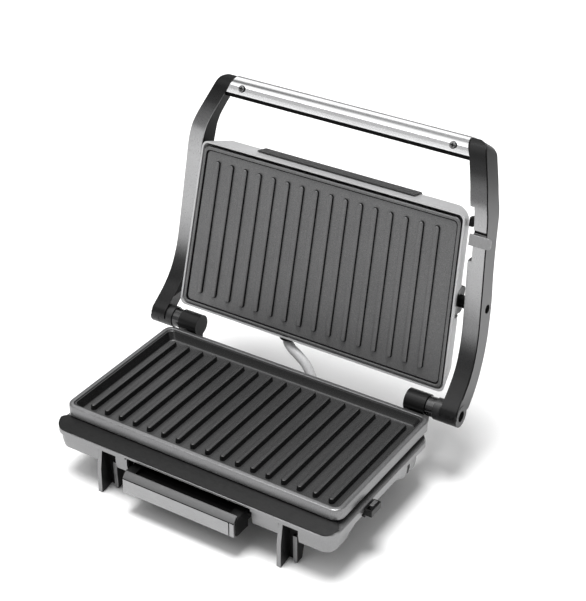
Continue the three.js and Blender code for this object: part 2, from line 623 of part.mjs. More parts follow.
function pivotBush() {
  const block = toSolid(acrossX(bushOutline(0), 102.4, 113));
  const wall = alongY([[100, -6], [111, -6], [107.9, -19], [107.9, -40], [100, -40]], 0, 130);
  const boss = cylinderX(4.6, 106, 114.2, PIVOT_S, PIVOT_O, 20);
  return cut(join(toGeometry(block.intersect(toSolid(wall))), boss), cylinderX(2.9, 100, 120, PIVOT_S, PIVOT_O, 16));
}
addPair('pivot_bush', pivotBush(), black, lid);

function pivotScrew() {
  const head = cylinderX(3.1, 125.2, 127.2, PIVOT_S, PIVOT_O, 16);
  return join(head, cylinderX(2.5, 102.8, 126, PIVOT_S, PIVOT_O, 16));
}
addPair('pivot_screw', pivotScrew(), steel, lid);

function bumper() {
  return box(0, 3.4, 0, 7, 0, 5).translate(107.9, 120, -19);
}
addPair('lid_bumper', bumper(), rubber, lid);

// ---------- drip tray ----------
function dripTray() {
  const tub = skin([ring(43, -7.6, 101.6, 2, -33.2), ring(43, -7.6, 101.6, 2, -25),
    ring(45.9, -7.6, 101.6, 2, -20.6), ring(TRAY_HALF - 0.2, -9, 103, 3, -20.6),
    ring(TRAY_HALF - 0.2, -9, 103, 3, -23.9), ring(44.8, -9, 103, 3, -23.9), ring(44, -9, 103, 3, -34.8)]);
  const face = TRAY_FRONT + 2.4;
  const block = acrossX([[face, -35.2], [face, -22.8], [-19.7, -21.1], [-18.4, -20.5], [-7, -20.5], [-7, -35.2]],
    -TRAY_HALF, TRAY_HALF);
  const scoop = cylinderX(10.5, -40, 40, -9.5, -13.4, 28);
  return cut(join(tub, block), scoop);
}
add('drip_tray', dripTray(), black());

function trayFront() {
  const f = TRAY_FRONT;
  return acrossX([[f + 2.1, -35.4], [f + 0.3, -35.4], [f, -35], [f, -23.2], [f + 3.2, -20.1], [f + 4.8, -19.6],
    [f + 4.8, -20.2], [f + 3.1, -20.8], [f + 2.1, -22.8]], -TRAY_HALF + 1, TRAY_HALF - 1);
}
add('tray_front', trayFront(), silver());

// ---------- side catch ----------
const CATCH = { y0: 28, y1: 41, z0: -19.4, z1: -14 };
function catchGuide() {
  const body = box(LIP_HALF + GAP, 123.6, CATCH.y0, CATCH.y1, CATCH.z0, CATCH.z1);
  const root = box(SKIRT_HALF + GAP, LIP_HALF + 1, CATCH.y0, CATCH.y1, CATCH.z0 - 2, LIP_LOW - GAP);
  return cut(join(body, root), box(118.9, 122.2, CATCH.y0 + 1.4, CATCH.y1 - 1.4, CATCH.z1 - 3, 0));
}
add('catch_guide', catchGuide(), black());
add('side_catch', box(119.2, 121.9, CATCH.y1 - 8.4, CATCH.y1 - 1.8, CATCH.z1 - 2.6, CATCH.z1 + 0.9), silver());

// ---------- wiring ----------
const LEAD_R = 3.7;
const LEAD = [[14, 119.6, -24.2], [14, 124.5, -24.0], [13.2, 130.5, -20], [9.6, 136, -11], [2.6, 139.6, -3.6],
  [-6, 142.6, 0.4], [-14, 145.6, 2.4], [-19, 148, 4.8], [-20, 148.75, 7.2]];
add('hinge_lead', sweep(LEAD, LEAD_R, 16, 10), material(0xb9babb, 0.6, 0.1));

// A tapered gland on the base's back wall with a blind round mouth.
function wallGland(x, z, length, r0, r1, bore) {
  const body = new THREE.CylinderGeometry(r1, r0, length, 20).translate(x, SKIRT_BACK + GAP + length / 2, z);
  const mouth = new THREE.CylinderGeometry(bore, bore, 6, 16).translate(x, SKIRT_BACK + GAP + length + 1, z);
  return cut(body, mouth);
}
add('lead_gland_base', wallGland(14, -24.2, 7, 6.4, 5.2, 3.2), black());

function leadGlandLid() {
  const collar = new THREE.CylinderGeometry(5.8, 5.8, 3.4, 20).translate(-20, -1.6, -8);
  return cut(collar, new THREE.CylinderGeometry(4.6, 4.6, 2, 16).translate(-20, -3.3, -8));
}
add('lead_gland_lid', leadGlandLid(), black(), lid);

add('cord_inlet', wallGland(-48, -24.2, 6, 6.4, 5.6, 3.2), black());

add('terminal_block', join(box(58, 84, 84, 95, -25.9, -19.5), box(61, 65, 82, 97, -25.9, -21),
  box(69, 73, 82, 97, -25.9, -21), box(77, 81, 82, 97, -25.9, -21)), ceramic());

function thermostat() {
  return join(cylinderZ(7, -25.9, -21.5, -78, 60, 20), cylinderZ(4.5, -22, -17.6, -78, 60, 16),
    box(-86, -70, 58.5, 61.5, -25.9, -24.5));
}
add('thermostat', thermostat(), ceramic());

BASE_SCREWS.forEach(([x, y], i) => {
  const screw = join(cylinderZ(3.1, -30, -27.9, x, y, 16), cylinderZ(1.6, -28.5, -18.2, x, y, 10));
  add(`base_screw_${i + 1}`, cut(screw, box(x - 2, x + 2, y - 0.4, y + 0.4, -31, -29.3),
    box(x - 0.4, x + 0.4, y - 2, y + 2, -31, -29.3)), steel());
});

export default press;
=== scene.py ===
# Panini press: the looks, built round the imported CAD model.
# Lengths below are millimetres in the drawing frame: its origin is the top edge of the lower rim, middle of
# the front. Lid pieces use the lid's own frame: Y up the lid, Z out of its plate.
import math

import bmesh
import bpy
from mathutils import Matrix, Vector


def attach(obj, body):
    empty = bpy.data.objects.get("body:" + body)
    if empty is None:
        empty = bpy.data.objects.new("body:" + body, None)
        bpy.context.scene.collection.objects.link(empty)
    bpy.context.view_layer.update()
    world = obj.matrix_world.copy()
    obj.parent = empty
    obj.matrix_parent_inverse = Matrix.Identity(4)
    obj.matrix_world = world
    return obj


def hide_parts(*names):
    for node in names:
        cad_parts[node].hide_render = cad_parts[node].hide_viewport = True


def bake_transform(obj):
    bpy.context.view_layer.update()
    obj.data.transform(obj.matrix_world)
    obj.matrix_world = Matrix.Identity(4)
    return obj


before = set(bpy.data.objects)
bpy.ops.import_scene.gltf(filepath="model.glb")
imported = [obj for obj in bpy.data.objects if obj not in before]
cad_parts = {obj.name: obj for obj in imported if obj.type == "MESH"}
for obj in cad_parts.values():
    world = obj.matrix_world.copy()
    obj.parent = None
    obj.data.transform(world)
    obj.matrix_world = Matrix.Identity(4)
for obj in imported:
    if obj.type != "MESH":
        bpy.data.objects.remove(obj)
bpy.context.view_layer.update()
scene = bpy.context.scene

MM = 0.001
TABLE_Z = -54.0
MIDDLE_Y = 92.8
GAP = 0.3
PLATE_HALF = 115.0
PLATE_DEPTH = 127.2
LIP_HALF = 117.5
SKIRT_HALF = 115.6
SKIRT_FRONT = -10.0
SKIRT_BACK = 112.0
SKIRT_LOW = -29.5
LIP_FRONT = -12.0
LIP_BACK = 123.0
LIP_TOP = -12.2
LIP_LOW = -17.2
RIB_PITCH = 12.54
TRAY_HALF = 47.6
TRAY_FRONT = -23.0
LEG_X = 76.0
FOOT_Y = 126.0
HINGE_Y = 136.2
HINGE_Z = 2.0
BARREL_R = 8.3
LID_LEAN = math.radians(77.05)
LID_Y = 141.0
LID_Z = 13.1
UPPER_HALF = 111.3
UPPER_LENGTH = 129.0
COVER_DEPTH = 20.0
CROWN_DEPTH = 31.0
PIVOT_S = 62.7
PIVOT_O = -21.0
ARM_WIDE = 13.0
HANDLE_S = 172.0
HANDLE_O = -21.0
HANDLE_R = 8.5
CORNER_STEPS = 12
PATH_STEPS = 2000
PIN_R = 3.0
PIN_BORE = 3.3
LEAD_R = 3.7
LEAD_X = -20.0
LEAD_O = -8.0
FLOOR_Z = -0.0004
FLOOR_HALF = 6.0
WELD = 2e-6
TINY_EDGE = 1e-6

BASE = Matrix.Translation((0, -MIDDLE_Y * MM, -TABLE_Z * MM))
LID_MM = Matrix.Translation((0, LID_Y, LID_Z)) @ Matrix.Rotation(LID_LEAN, 4, "X")
LID = BASE @ Matrix.Translation((0, LID_Y * MM, LID_Z * MM)) @ Matrix.Rotation(LID_LEAN, 4, "X")


# ---------- camera ----------
def place_camera():
    eye = Vector((0.5283, -0.7993, 0.7171))
    target = Vector((0.0411, -0.0328, 0.16134))
    data = bpy.data.cameras.new("camera")
    data.lens = 95.98
    data.sensor_width = 36.0
    data.clip_start = 0.05
    data.clip_end = 20.0
    camera = bpy.data.objects.new("camera", data)
    camera.location = eye
    camera.rotation_euler = (target - eye).to_track_quat("-Z", "Y").to_euler()
    scene.collection.objects.link(camera)
    scene.camera = camera


place_camera()


# ---------- shapes: each is (points, faces) in millimetres ----------
def ring(x, y0, y1, r, z):
    """A rounded rectangle at height z, from -x to x and y0 to y1."""
    corners = ((x - r, y0 + r, -90), (x - r, y1 - r, 0), (-x + r, y1 - r, 90), (-x + r, y0 + r, 180))
    points = []
    for cx, cy, start in corners:
        for i in range(CORNER_STEPS + 1):
            a = math.radians(start + 90 * i / CORNER_STEPS)
            points.append((cx + r * math.cos(a), cy + r * math.sin(a), z))
    return points


def skin(rings, closed=False):
    """Joins rings of equally many points into a solid; closed joins the last ring to the first."""
    n = len(rings[0])
    points = [p for loop in rings for p in loop]
    faces = []
    for k in range(len(rings) if closed else len(rings) - 1):
        a = k * n
        b = ((k + 1) % len(rings)) * n
        for i in range(n):
            j = (i + 1) % n
            faces.append((a + i, a + j, b + j, b + i))
    if not closed:
        faces.append(tuple(range(n))[::-1])
        last = (len(rings) - 1) * n
        faces.append(tuple(range(last, last + n)))
    return points, faces


def box(x0, x1, y0, y1, z0, z1):
    return skin([[(x0, y0, z), (x1, y0, z), (x1, y1, z), (x0, y1, z)] for z in (z0, z1)])


def across_x(profile, x0, x1):
    return skin([[(x, y, z) for y, z in profile] for x in (x0, x1)])


def along_y(profile, y0, y1):
    return skin([[(x, y, z) for x, z in profile] for y in (y0, y1)])


def circle(r, n):
    return [(r * math.cos(2 * math.pi * i / n), r * math.sin(2 * math.pi * i / n)) for i in range(n)]


def on_axis(axis, a, u, v):
    """The point that lies a along the axis, and u and v in the other two directions."""
    return {"x": (a, u, v), "y": (u, a, v), "z": (u, v, a)}[axis]


def cylinder(axis, r, a0, a1, c0, c1, n=48, r1=None):
    """A round bar along axis from a0 to a1; c0 and c1 are its middle in the other two directions."""
    loops = []
    for a, radius in ((a0, r), (a1, r if r1 is None else r1)):
        loops.append([on_axis(axis, a, c0 + u, c1 + v) for u, v in circle(radius, n)])
    return skin(loops)


def turned(profile, x, y, z, n=40):
    """A lathe piece that stands on z: profile is (radius, height) from the axis up and back to the axis."""
    thinnest = 0.02
    return skin([[(x + u, y + v, z + h) for u, v in circle(max(r, thinnest), n)] for r, h in profile])


def moved(shape, x=0.0, y=0.0, z=0.0):
    return [(p[0] + x, p[1] + y, p[2] + z) for p in shape[0]], shape[1]


def mirrored(shape):
    return [(-p[0], p[1], p[2]) for p in shape[0]], shape[1]


def turned_by(shape, matrix):
    return [tuple(matrix @ Vector(p)) for p in shape[0]], shape[1]


def together(*shapes):
    points, faces = [], []
    for p, f in shapes:
        start = len(points)
        points += list(p)
        faces += [tuple(i + start for i in face) for face in f]
    return points, faces


def temp_object(shape):
    mesh = bpy.data.meshes.new("temp")
    mesh.from_pydata([tuple(p) for p in shape[0]], [], shape[1])
    bm = bmesh.new()
    bm.from_mesh(mesh)
    bmesh.ops.recalc_face_normals(bm, faces=bm.faces)
    bm.to_mesh(mesh)
    bm.free()
    obj = bpy.data.objects.new("temp", mesh)
    scene.collection.objects.link(obj)
    return obj


def solid(start, joins=(), cuts=(), keeps=()):
    """start with the joins added, the cuts taken away, and only what lies inside each of keeps left."""
    obj = temp_object(start)
    tools = []
    for operation, shapes in (("UNION", joins), ("DIFFERENCE", cuts), ("INTERSECT", keeps)):
        for shape in shapes:
            tool = temp_object(shape)
            tools.append(tool)
            modifier = obj.modifiers.new("part", "BOOLEAN")
            modifier.operation = operation
            modifier.solver = "EXACT"
            modifier.object = tool
    bpy.context.view_layer.update()
    evaluated = obj.evaluated_get(bpy.context.evaluated_depsgraph_get())
    mesh = evaluated.to_mesh()
    shape = [tuple(v.co) for v in mesh.vertices], [tuple(p.vertices) for p in mesh.polygons]
    evaluated.to_mesh_clear()
    for old in [obj] + tools:
        mesh = old.data
        bpy.data.objects.remove(old)
        bpy.data.meshes.remove(mesh)
    return shape


def curve_value(a, b, c, d, t):
    """A smooth value at share t of the way from b to c, with a before them and d after."""
    square = 2 * a - 5 * b + 4 * c - d
    cube = 3 * b - 3 * c + d - a
    return 0.5 * (2 * b + (c - a) * t + square * t * t + cube * t ** 3)


def spline(points, per_span=12):
    """A smooth curve through the points, as many short steps."""
    result = []
    count = len(points)
    for i in range(count - 1):
        p0 = points[max(i - 1, 0)]
        p1, p2 = points[i], points[i + 1]
        p3 = points[min(i + 2, count - 1)]
        for k in range(per_span):
            t = k / per_span
            result.append(tuple(curve_value(*values, t) for values in zip(p0, p1, p2, p3)))
    result.append(tuple(points[-1]))
    return result


def spaced(points, count):
    """count + 1 points at equal steps along a line of points."""
    lengths = [0.0]
    for a, b in zip(points, points[1:]):
        lengths.append(lengths[-1] + math.dist(a, b))
    result = []
    k = 0
    for i in range(count + 1):
        want = lengths[-1] * i / count
        while k < len(points) - 2 and lengths[k + 1] < want:
            k += 1
        span = lengths[k + 1] - lengths[k]
        t = (want - lengths[k]) / span if span else 0.0
        result.append(tuple(a + (b - a) * t for a, b in zip(points[k], points[k + 1])))
    return result


def at_shares(points, shares):
    """The points found at these shares of the length of a line of points."""
    fine = spaced(points, PATH_STEPS)
    return [fine[round(share * PATH_STEPS)] for share in shares]


def tube(path, r, sides):
    """A round tube along a path of close points, with flat ends."""
    points = [Vector(p) for p in path]
    side = Vector((0, 0, 1)).cross(points[1] - points[0]).normalized()
    loops = []
    for i, p in enumerate(points):
        ahead = (points[min(i + 1, len(points) - 1)] - points[max(i - 1, 0)]).normalized()
        side = (side - ahead * side.dot(ahead)).normalized()
        up = ahead.cross(side)
        loops.append([tuple(p + side * u + up * v) for u, v in circle(r, sides)])
    return skin(loops)


# ---------- materials ----------
PATCH_SCALE = 25.0
PATCH_TONE = 0.05
SPECK_START = 0.60
SPECK_END = 0.72
COAT_ROUGHNESS = 0.1
RELIEF_STRENGTH = 0.5
# Places of the colour sockets of a mix node.
MIX_SHARE, MIX_A, MIX_B, MIX_RESULT = 0, 6, 7, 2


def link(tree, a, a_name, b, b_name):
    tree.links.new(a.outputs[a_name], b.inputs[b_name])


def noise(tree, coordinates, scale, stretch=(1, 1, 1), detail=3.0):
    mapping = tree.nodes.new("ShaderNodeMapping")
    mapping.inputs["Scale"].default_value = stretch
    texture = tree.nodes.new("ShaderNodeTexNoise")
    texture.inputs["Scale"].default_value = scale
    texture.inputs["Detail"].default_value = detail
    link(tree, coordinates, "Object", mapping, "Vector")
    link(tree, mapping, "Vector", texture, "Vector")
    return texture


def ranged(tree, source, low, high, start=0.3, end=0.7):
    node = tree.nodes.new("ShaderNodeMapRange")
    node.inputs["From Min"].default_value = start
    node.inputs["From Max"].default_value = end
    node.inputs["To Min"].default_value = low
    node.inputs["To Max"].default_value = high
    tree.links.new(source, node.inputs["Value"])
    return node


def multiplied(tree, a, b):
    node = tree.nodes.new("ShaderNodeMath")
    node.operation = "MULTIPLY"
    tree.links.new(a, node.inputs[0])
    tree.links.new(b, node.inputs[1])
    return node.outputs["Value"]


def grey_ramp(tree, stops):
    """A colour ramp of greys; stops are (position, value) with positions rising from 0 to 1."""
    ramp = tree.nodes.new("ShaderNodeValToRGB")
    elements = ramp.color_ramp.elements
    for position, _ in stops[1:-1]:
        elements.new(position)
    for element, (position, value) in zip(elements, stops):
        element.position = position
        element.color = (value, value, value, 1.0)
    return ramp


def painted_light_ramp(tree, coordinates, stops):
    """Painted light and shade: a ramp along Y from one share of tone to the next."""
    low, high = stops[0][0], stops[-1][0]
    split = tree.nodes.new("ShaderNodeSeparateXYZ")
    link(tree, coordinates, "Object", split, "Vector")
    along = ranged(tree, split.outputs["Y"], 0.0, 1.0, low * MM, high * MM)
    ramp = grey_ramp(tree, [((place - low) / (high - low), share) for place, share in stops])
    link(tree, along, "Result", ramp, "Fac")
    return ramp.outputs["Color"]


def speckled(tree, coordinates, base, specks):
    """Lighter specks over a base colour; specks is (share of the speck colour, its colour, scale)."""
    share, color, scale = specks
    dots = noise(tree, coordinates, scale, (1, 1, 1), 1.0)
    mask = ranged(tree, dots.outputs["Fac"], 0.0, share, SPECK_START, SPECK_END)
    mix = tree.nodes.new("ShaderNodeMix")
    mix.data_type = "RGBA"
    tree.links.new(mask.outputs["Result"], mix.inputs[MIX_SHARE])
    tree.links.new(base, mix.inputs[MIX_A])
    mix.inputs[MIX_B].default_value = (*color, 1.0)
    return mix.outputs[MIX_RESULT]


def add_relief(tree, texture, shader, depth):
    relief = tree.nodes.new("ShaderNodeBump")
    relief.inputs["Strength"].default_value = RELIEF_STRENGTH
    relief.inputs["Distance"].default_value = depth
    link(tree, texture, "Fac", relief, "Height")
    link(tree, relief, "Normal", shader, "Normal")


def surface(name, color, metallic, roughness, grain=900.0, stretch=(1, 1, 1), grain_tone=0.12,
            grain_rough=0.06, bump=0.00003, specks=None, coat=0.0, specular=0.5, painted_light=None):
    """A finish with a fine grain, brushed where stretch is uneven, and slow patches of tone.

    The last argument, when given, is painted light and shade along the piece: a list of (distance along the
    piece's own Y in mm, share of the colour left there)."""
    material = bpy.data.materials.new(name)
    material.use_nodes = True
    tree = material.node_tree
    shader = tree.nodes["Principled BSDF"]
    shader.inputs["Metallic"].default_value = metallic
    shader.inputs["Coat Weight"].default_value = coat
    shader.inputs["Coat Roughness"].default_value = COAT_ROUGHNESS
    shader.inputs["Specular IOR Level"].default_value = specular
    coordinates = tree.nodes.new("ShaderNodeTexCoord")
    fine = noise(tree, coordinates, grain, stretch)
    slow = noise(tree, coordinates, PATCH_SCALE, (1, 1, 1), 2.0)
    fine_tone = ranged(tree, fine.outputs["Fac"], 1 - grain_tone, 1 + grain_tone)
    slow_tone = ranged(tree, slow.outputs["Fac"], 1 - PATCH_TONE, 1 + PATCH_TONE)
    tone = multiplied(tree, fine_tone.outputs["Result"], slow_tone.outputs["Result"])
    # Painted light and shade: the colour is scaled by a table along the piece's Y.
    if painted_light:
        tone = multiplied(tree, painted_light_ramp(tree, coordinates, painted_light), tone)
    tint = tree.nodes.new("ShaderNodeVectorMath")
    tint.operation = "SCALE"
    tint.inputs[0].default_value = color
    tree.links.new(tone, tint.inputs["Scale"])
    shown = tint.outputs["Vector"]
    if specks:
        shown = speckled(tree, coordinates, shown, specks)
    tree.links.new(shown, shader.inputs["Base Color"])
    rough = ranged(tree, fine.outputs["Fac"], roughness - grain_rough, roughness + grain_rough)
    link(tree, rough, "Result", shader, "Roughness")
    if bump:
        add_relief(tree, fine, shader, bump)
    return material


def grey(value):
    return (value, value, value * 1.01)


BRUSHED = (1, 12, 12)
POLISHED = (1, 16, 16)
ALONG_ARM = (8, 1, 8)
# Painted light: the arm trim is kept bright in the middle and darkened towards both ends, standing in for
# reflections and shade along the arm.
TRIM_PAINTED_LIGHT = [(-20, 0.10), (0, 0.05), (15, 0.06), (30, 0.16), (48, 0.50), (75, 0.80), (115, 0.88),
             (137, 0.75), (148, 0.42), (160, 0.12), (172, 0.04), (182, 0.06)]
# Painted reflection: a dark streak along the handle cover, near the upper edge of its round.
HANDLE_PAINTED_STREAK = [(160, 1.0), (175.2, 1.0), (177.5, 0.28), (179.2, 0.85), (181, 1.0)]
# Painted shade: the arm body is darker at the hub and towards its top end.
ARM_PAINTED_SHADE = [(-20, 0.30), (-6, 0.32), (6, 0.80), (40, 1.0), (140, 0.85), (165, 0.45), (182, 0.22)]
FINISHES = {
    "silver_paint": surface("silver_paint", grey(0.25), 0.80, 0.36, 1500, grain_tone=0.10, bump=0.00001),
    "silver_brushed": surface("silver_brushed", grey(0.31), 0.85, 0.32, 300, BRUSHED, 0.10, 0.05, 0.000005),
    "lid_silver": surface("lid_silver", grey(0.50), 0.30, 0.45, 1500, grain_tone=0.05, bump=0.00001),
    "fascia_grey": surface("fascia_grey", grey(0.009), 0.6, 0.36, 300, (1, 14, 14), 0.30, 0.08, 0.00001),
    "black_matte": surface("black_matte", grey(0.003), 0.0, 0.5, 2200, bump=0.00003, specular=0.06),
    "black_plastic": surface("black_plastic", grey(0.004), 0.0, 0.36, 2200, bump=0.00003, specular=0.22),
    "rim_alloy": surface("rim_alloy", grey(0.21), 0.85, 0.34, 1200, grain_tone=0.20, bump=0.00002),
    "non_stick": surface("non_stick", grey(0.125), 0.40, 0.40, 2600, grain_tone=0.40, grain_rough=0.12,
                         bump=0.00006, specks=(0.5, (0.24, 0.24, 0.24), 1700.0)),
    # A near-black copy of the plate coating: painted shade on rib flanks, walls and grooves.
    "non_stick_painted_shade": surface("non_stick_painted_shade", grey(0.005), 0.0, 0.25, 2600, bump=0.00002, specular=0.4),
    "rod_steel": surface("rod_steel", (0.16, 0.14, 0.13), 0.8, 0.45, 700),
    # A darker copy of the plate coating, used for the lower plate: painted shade.
    "non_stick_lower_shaded": surface("non_stick_lower_shaded", grey(0.048), 0.45, 0.36, 2600, grain_tone=0.40,
                             grain_rough=0.12, bump=0.00006, specks=(0.4, (0.16, 0.16, 0.16), 1700.0)),
    "screw_steel": surface("screw_steel", grey(0.26), 1.0, 0.30, 900, bump=0.0),
    # A darker copy of the brushed steel for the tray front's upward bevel: painted shade.
    "tray_bevel_shaded": surface("tray_bevel_shaded", grey(0.11), 0.90, 0.34, 300, BRUSHED, 0.10, 0.05, 0.000005),
    "steel": surface("steel", grey(0.86), 1.0, 0.16, 260, POLISHED, 0.05, 0.04, 0.000004),
    "handle_steel": surface("handle_steel", grey(0.88), 1.0, 0.18, 260, POLISHED, 0.04, 0.03, 0.000003,
                            painted_light=HANDLE_PAINTED_STREAK),
    "polished_ring": surface("polished_ring", grey(0.07), 1.0, 0.26, 500, (1, 1, 1), 0.04, 0.04, 0.0),
    "rubber": surface("rubber", grey(0.010), 0.0, 0.75, 1500, bump=0.00005, specular=0.3),
    "arm_alloy": surface("arm_alloy", grey(0.12), 0.75, 0.38, 500, ALONG_ARM, 0.10, 0.05, 0.000005,
                         painted_light=ARM_PAINTED_SHADE),
    "arm_trim": surface("arm_trim", grey(0.42), 0.95, 0.30, 500, ALONG_ARM, 0.08, 0.05, 0.000005,
                        painted_light=TRIM_PAINTED_LIGHT),
    "slider_grey": surface("slider_grey", grey(0.24), 0.4, 0.36, 1200, bump=0.00001),
    "gloss_black": surface("gloss_black", grey(0.010), 0.0, 0.35, 900, bump=0.0),
    "lamp_red": surface("lamp_red", (0.42, 0.02, 0.012), 0.0, 0.2, 900, bump=0.0, coat=0.6),
    "lamp_green": surface("lamp_green", (0.03, 0.30, 0.05), 0.0, 0.2, 900, bump=0.0, coat=0.6),
    "lead_grey": surface("lead_grey", grey(0.42), 0.0, 0.6, 900, (1, 1, 1), 0.12, 0.05, 0.00008),
    "ceramic": surface("ceramic", (0.74, 0.70, 0.62), 0.0, 0.7, 700, bump=0.00004),
}


# ---------- pieces ----------
def piece(name, shape, finish, body, nodes, lid=False, bevel=0.4, segments=2, angle=32.0, smooth=38.0,
          slot=None):
    """A shape in mm made into an object that rides on a body and stands for the named nodes."""
    mesh = bpy.data.meshes.new(name)
    mesh.from_pydata([tuple(c * MM for c in p) for p in shape[0]], [], shape[1])
    bm = bmesh.new()
    bm.from_mesh(mesh)
    bmesh.ops.remove_doubles(bm, verts=bm.verts, dist=WELD)
    bmesh.ops.dissolve_degenerate(bm, edges=bm.edges, dist=TINY_EDGE)
    bmesh.ops.recalc_face_normals(bm, faces=bm.faces)
    for face in bm.faces:
        face.smooth = True
    bm.to_mesh(mesh)
    bm.free()
    mesh.set_sharp_from_angle(angle=math.radians(smooth))
    mesh.materials.append(FINISHES[finish])
    obj = bpy.data.objects.new(name, mesh)
    scene.collection.objects.link(obj)
    obj.matrix_world = LID if lid else BASE
    if bevel:
        modifier = obj.modifiers.new("edges", "BEVEL")
        modifier.width = bevel * MM
        modifier.segments = segments
        modifier.limit_method = "ANGLE"
        modifier.angle_limit = math.radians(angle)
        modifier.harden_normals = True
    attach(obj, body)
    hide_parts(*nodes)
    return obj


def second_finish(obj, finish, chosen):
    """Gives the faces picked by chosen(middle in mm, normal) another finish."""
    obj.data.materials.append(FINISHES[finish])
    index = len(obj.data.materials) - 1
    for polygon in obj.data.polygons:
        if chosen(polygon.center / MM, polygon.normal):
            polygon.material_index = index


def pair(name, shape, finish, body, node, lid=False, **options):
    right = piece(f"{name}_right", shape, finish, body, [f"{node}_right"], lid, **options)
    left = piece(f"{name}_left", mirrored(shape), finish, body, [f"{node}_left"], lid, **options)
    return right, left


def in_lid(shape):
    """The same shape with its points given in the lid's frame instead of the drawing's."""
    return turned_by(shape, LID_MM.inverted())


# ---------- base ----------
ARCH = [(12.5, -40), (12.5, SKIRT_LOW), (15, -24.6), (20, -22.3), (76, -22.3), (80, -24), (88, SKIRT_LOW),
        (88, -40)]
SLOT_START = 92.0
SLOT_END = 95.4


def base_housing():
    lip = skin([ring(LIP_HALF, LIP_FRONT, LIP_BACK, 11, LIP_LOW),
                ring(LIP_HALF, LIP_FRONT, LIP_BACK, 11, LIP_TOP - 1),
                ring(LIP_HALF - 0.8, LIP_FRONT + 0.8, LIP_BACK - 0.8, 10.2, LIP_TOP)])
    skirt = skin([ring(SKIRT_HALF - 1.2, SKIRT_FRONT + 1.2, SKIRT_BACK - 1, 8, SKIRT_LOW),
                  ring(SKIRT_HALF, SKIRT_FRONT, SKIRT_BACK, 9, SKIRT_LOW + 6),
                  ring(SKIRT_HALF, SKIRT_FRONT, SKIRT_BACK, 9, LIP_LOW + 1)])
    shelf = across_x([(-9, -13.5), (-7.6, -12.2), (-1.5, -9.9), (1, -9.9), (1, -13.5)], -112, 112)
    bevel = across_x([(-30, -20.8), (-7.6, -12.2), (-1.5, -9.88), (-1.5, 0), (-30, 0)], -130, 130)
    wall = 2.6
    hollow = skin([ring(SKIRT_HALF - wall, SKIRT_FRONT + wall, SKIRT_BACK - 2.4, 6, z)
                   for z in (-40, LIP_LOW + 0.3)])
    mouth = skin([ring(111, 2.4, SKIRT_BACK - wall, 6, z) for z in (-20, -5)])
    cuts = [bevel, hollow, mouth, box(-TRAY_HALF - 5, TRAY_HALF + 5, -20, -3, -40, -15.3)]
    cuts += [box(x - 2.1, x + 13.4, -20, -3, -40, LIP_LOW + 0.05) for x in (LEG_X, -LEG_X)]
    for x0, x1 in ((100, 130), (-130, -100)):
        cuts += [across_x(ARCH, x0, x1), box(x0, x1, SLOT_START, SLOT_END, -40, -19.5)]
    return solid(lip, [skirt, shelf], cuts)


piece("housing", base_housing(), "silver_paint", "base", ["base_housing"], bevel=0.45)


def front_fascia():
    r = 9
    plan = []
    for cx, start in ((-PLATE_HALF - 1.8 + r, 180), (PLATE_HALF + 1.8 - r, 270)):
        for i in range(CORNER_STEPS + 1):
            a = math.radians(start + 90 * i / CORNER_STEPS)
            plan.append((cx + r * math.cos(a), LIP_FRONT + 0.4 + r + r * math.sin(a)))
    plan += [(PLATE_HALF - 2, 1.6), (-PLATE_HALF + 2, 1.6)]
    slab = skin([[(x, y, z) for x, y in plan] for z in (-18, -6)])

    def line(y, up):
        """A point of the sloped face at y, raised by up."""
        return y, -9.9 + 0.381 * (y + 1.5) + up

    side = [line(-20, GAP), line(-1.5, GAP), (4, -9.9 + GAP), (4, -9.25), (-1.2, -9.25), line(-20, 1)]
    wedge = across_x(side, -130, 130)
    return solid(slab, keeps=[wedge])


piece("fascia", front_fascia(), "fascia_grey", "base", ["front_fascia"], bevel=0.2)

bezel_rings = [ring(113.4, 2.0, 121.6, 7, LIP_TOP + GAP), ring(113.4, 2.0, 121.6, 7, -9.3),
               ring(110.6, 4.8, 118.8, 5, -9.3), ring(110.6, 4.8, 118.8, 5, LIP_TOP + GAP)]
piece("plate_gap_frame", skin(bezel_rings, closed=True), "black_plastic", "base", ["plate_bezel"], bevel=0.3)


def lower_rim():
    d, h = PLATE_DEPTH, PLATE_HALF
    return skin([ring(h - 0.6, 0.6, d - 0.6, 7.4, -8.9), ring(h, 0, d, 8, -8.2), ring(h, 0, d, 8, -1.2),
                 ring(h - 0.3, 0.3, d - 0.3, 7.7, -0.35), ring(h - 1, 1, d - 1, 7, 0),
                 ring(h - 3.4, 3.4, d - 3.4, 4.6, 0), ring(h - 3.8, 3.8, d - 3.8, 4.2, -0.6),
                 ring(h - 3.8, 3.8, d - 3.8, 4.2, -8.9)], closed=True)


piece("lower_rim_fine", lower_rim(), "rim_alloy", "base", ["lower_rim"], bevel=0.25)


def rib(x, y0, y1, profile):
    """A bar with round ends; profile is (half width, height) from its foot to its top."""
    loops = []
    foot = profile[0][0]
    for r, z in profile:
        loop = []
        for cy, start in ((y1 - foot, 0), (y0 + foot, 180)):
            for i in range(CORNER_STEPS + 1):
                a = math.radians(start + 180 * i / CORNER_STEPS)
                loop.append((x + r * math.cos(a), cy + r * math.sin(a), z))
        loops.append(loop)
    return skin(loops)


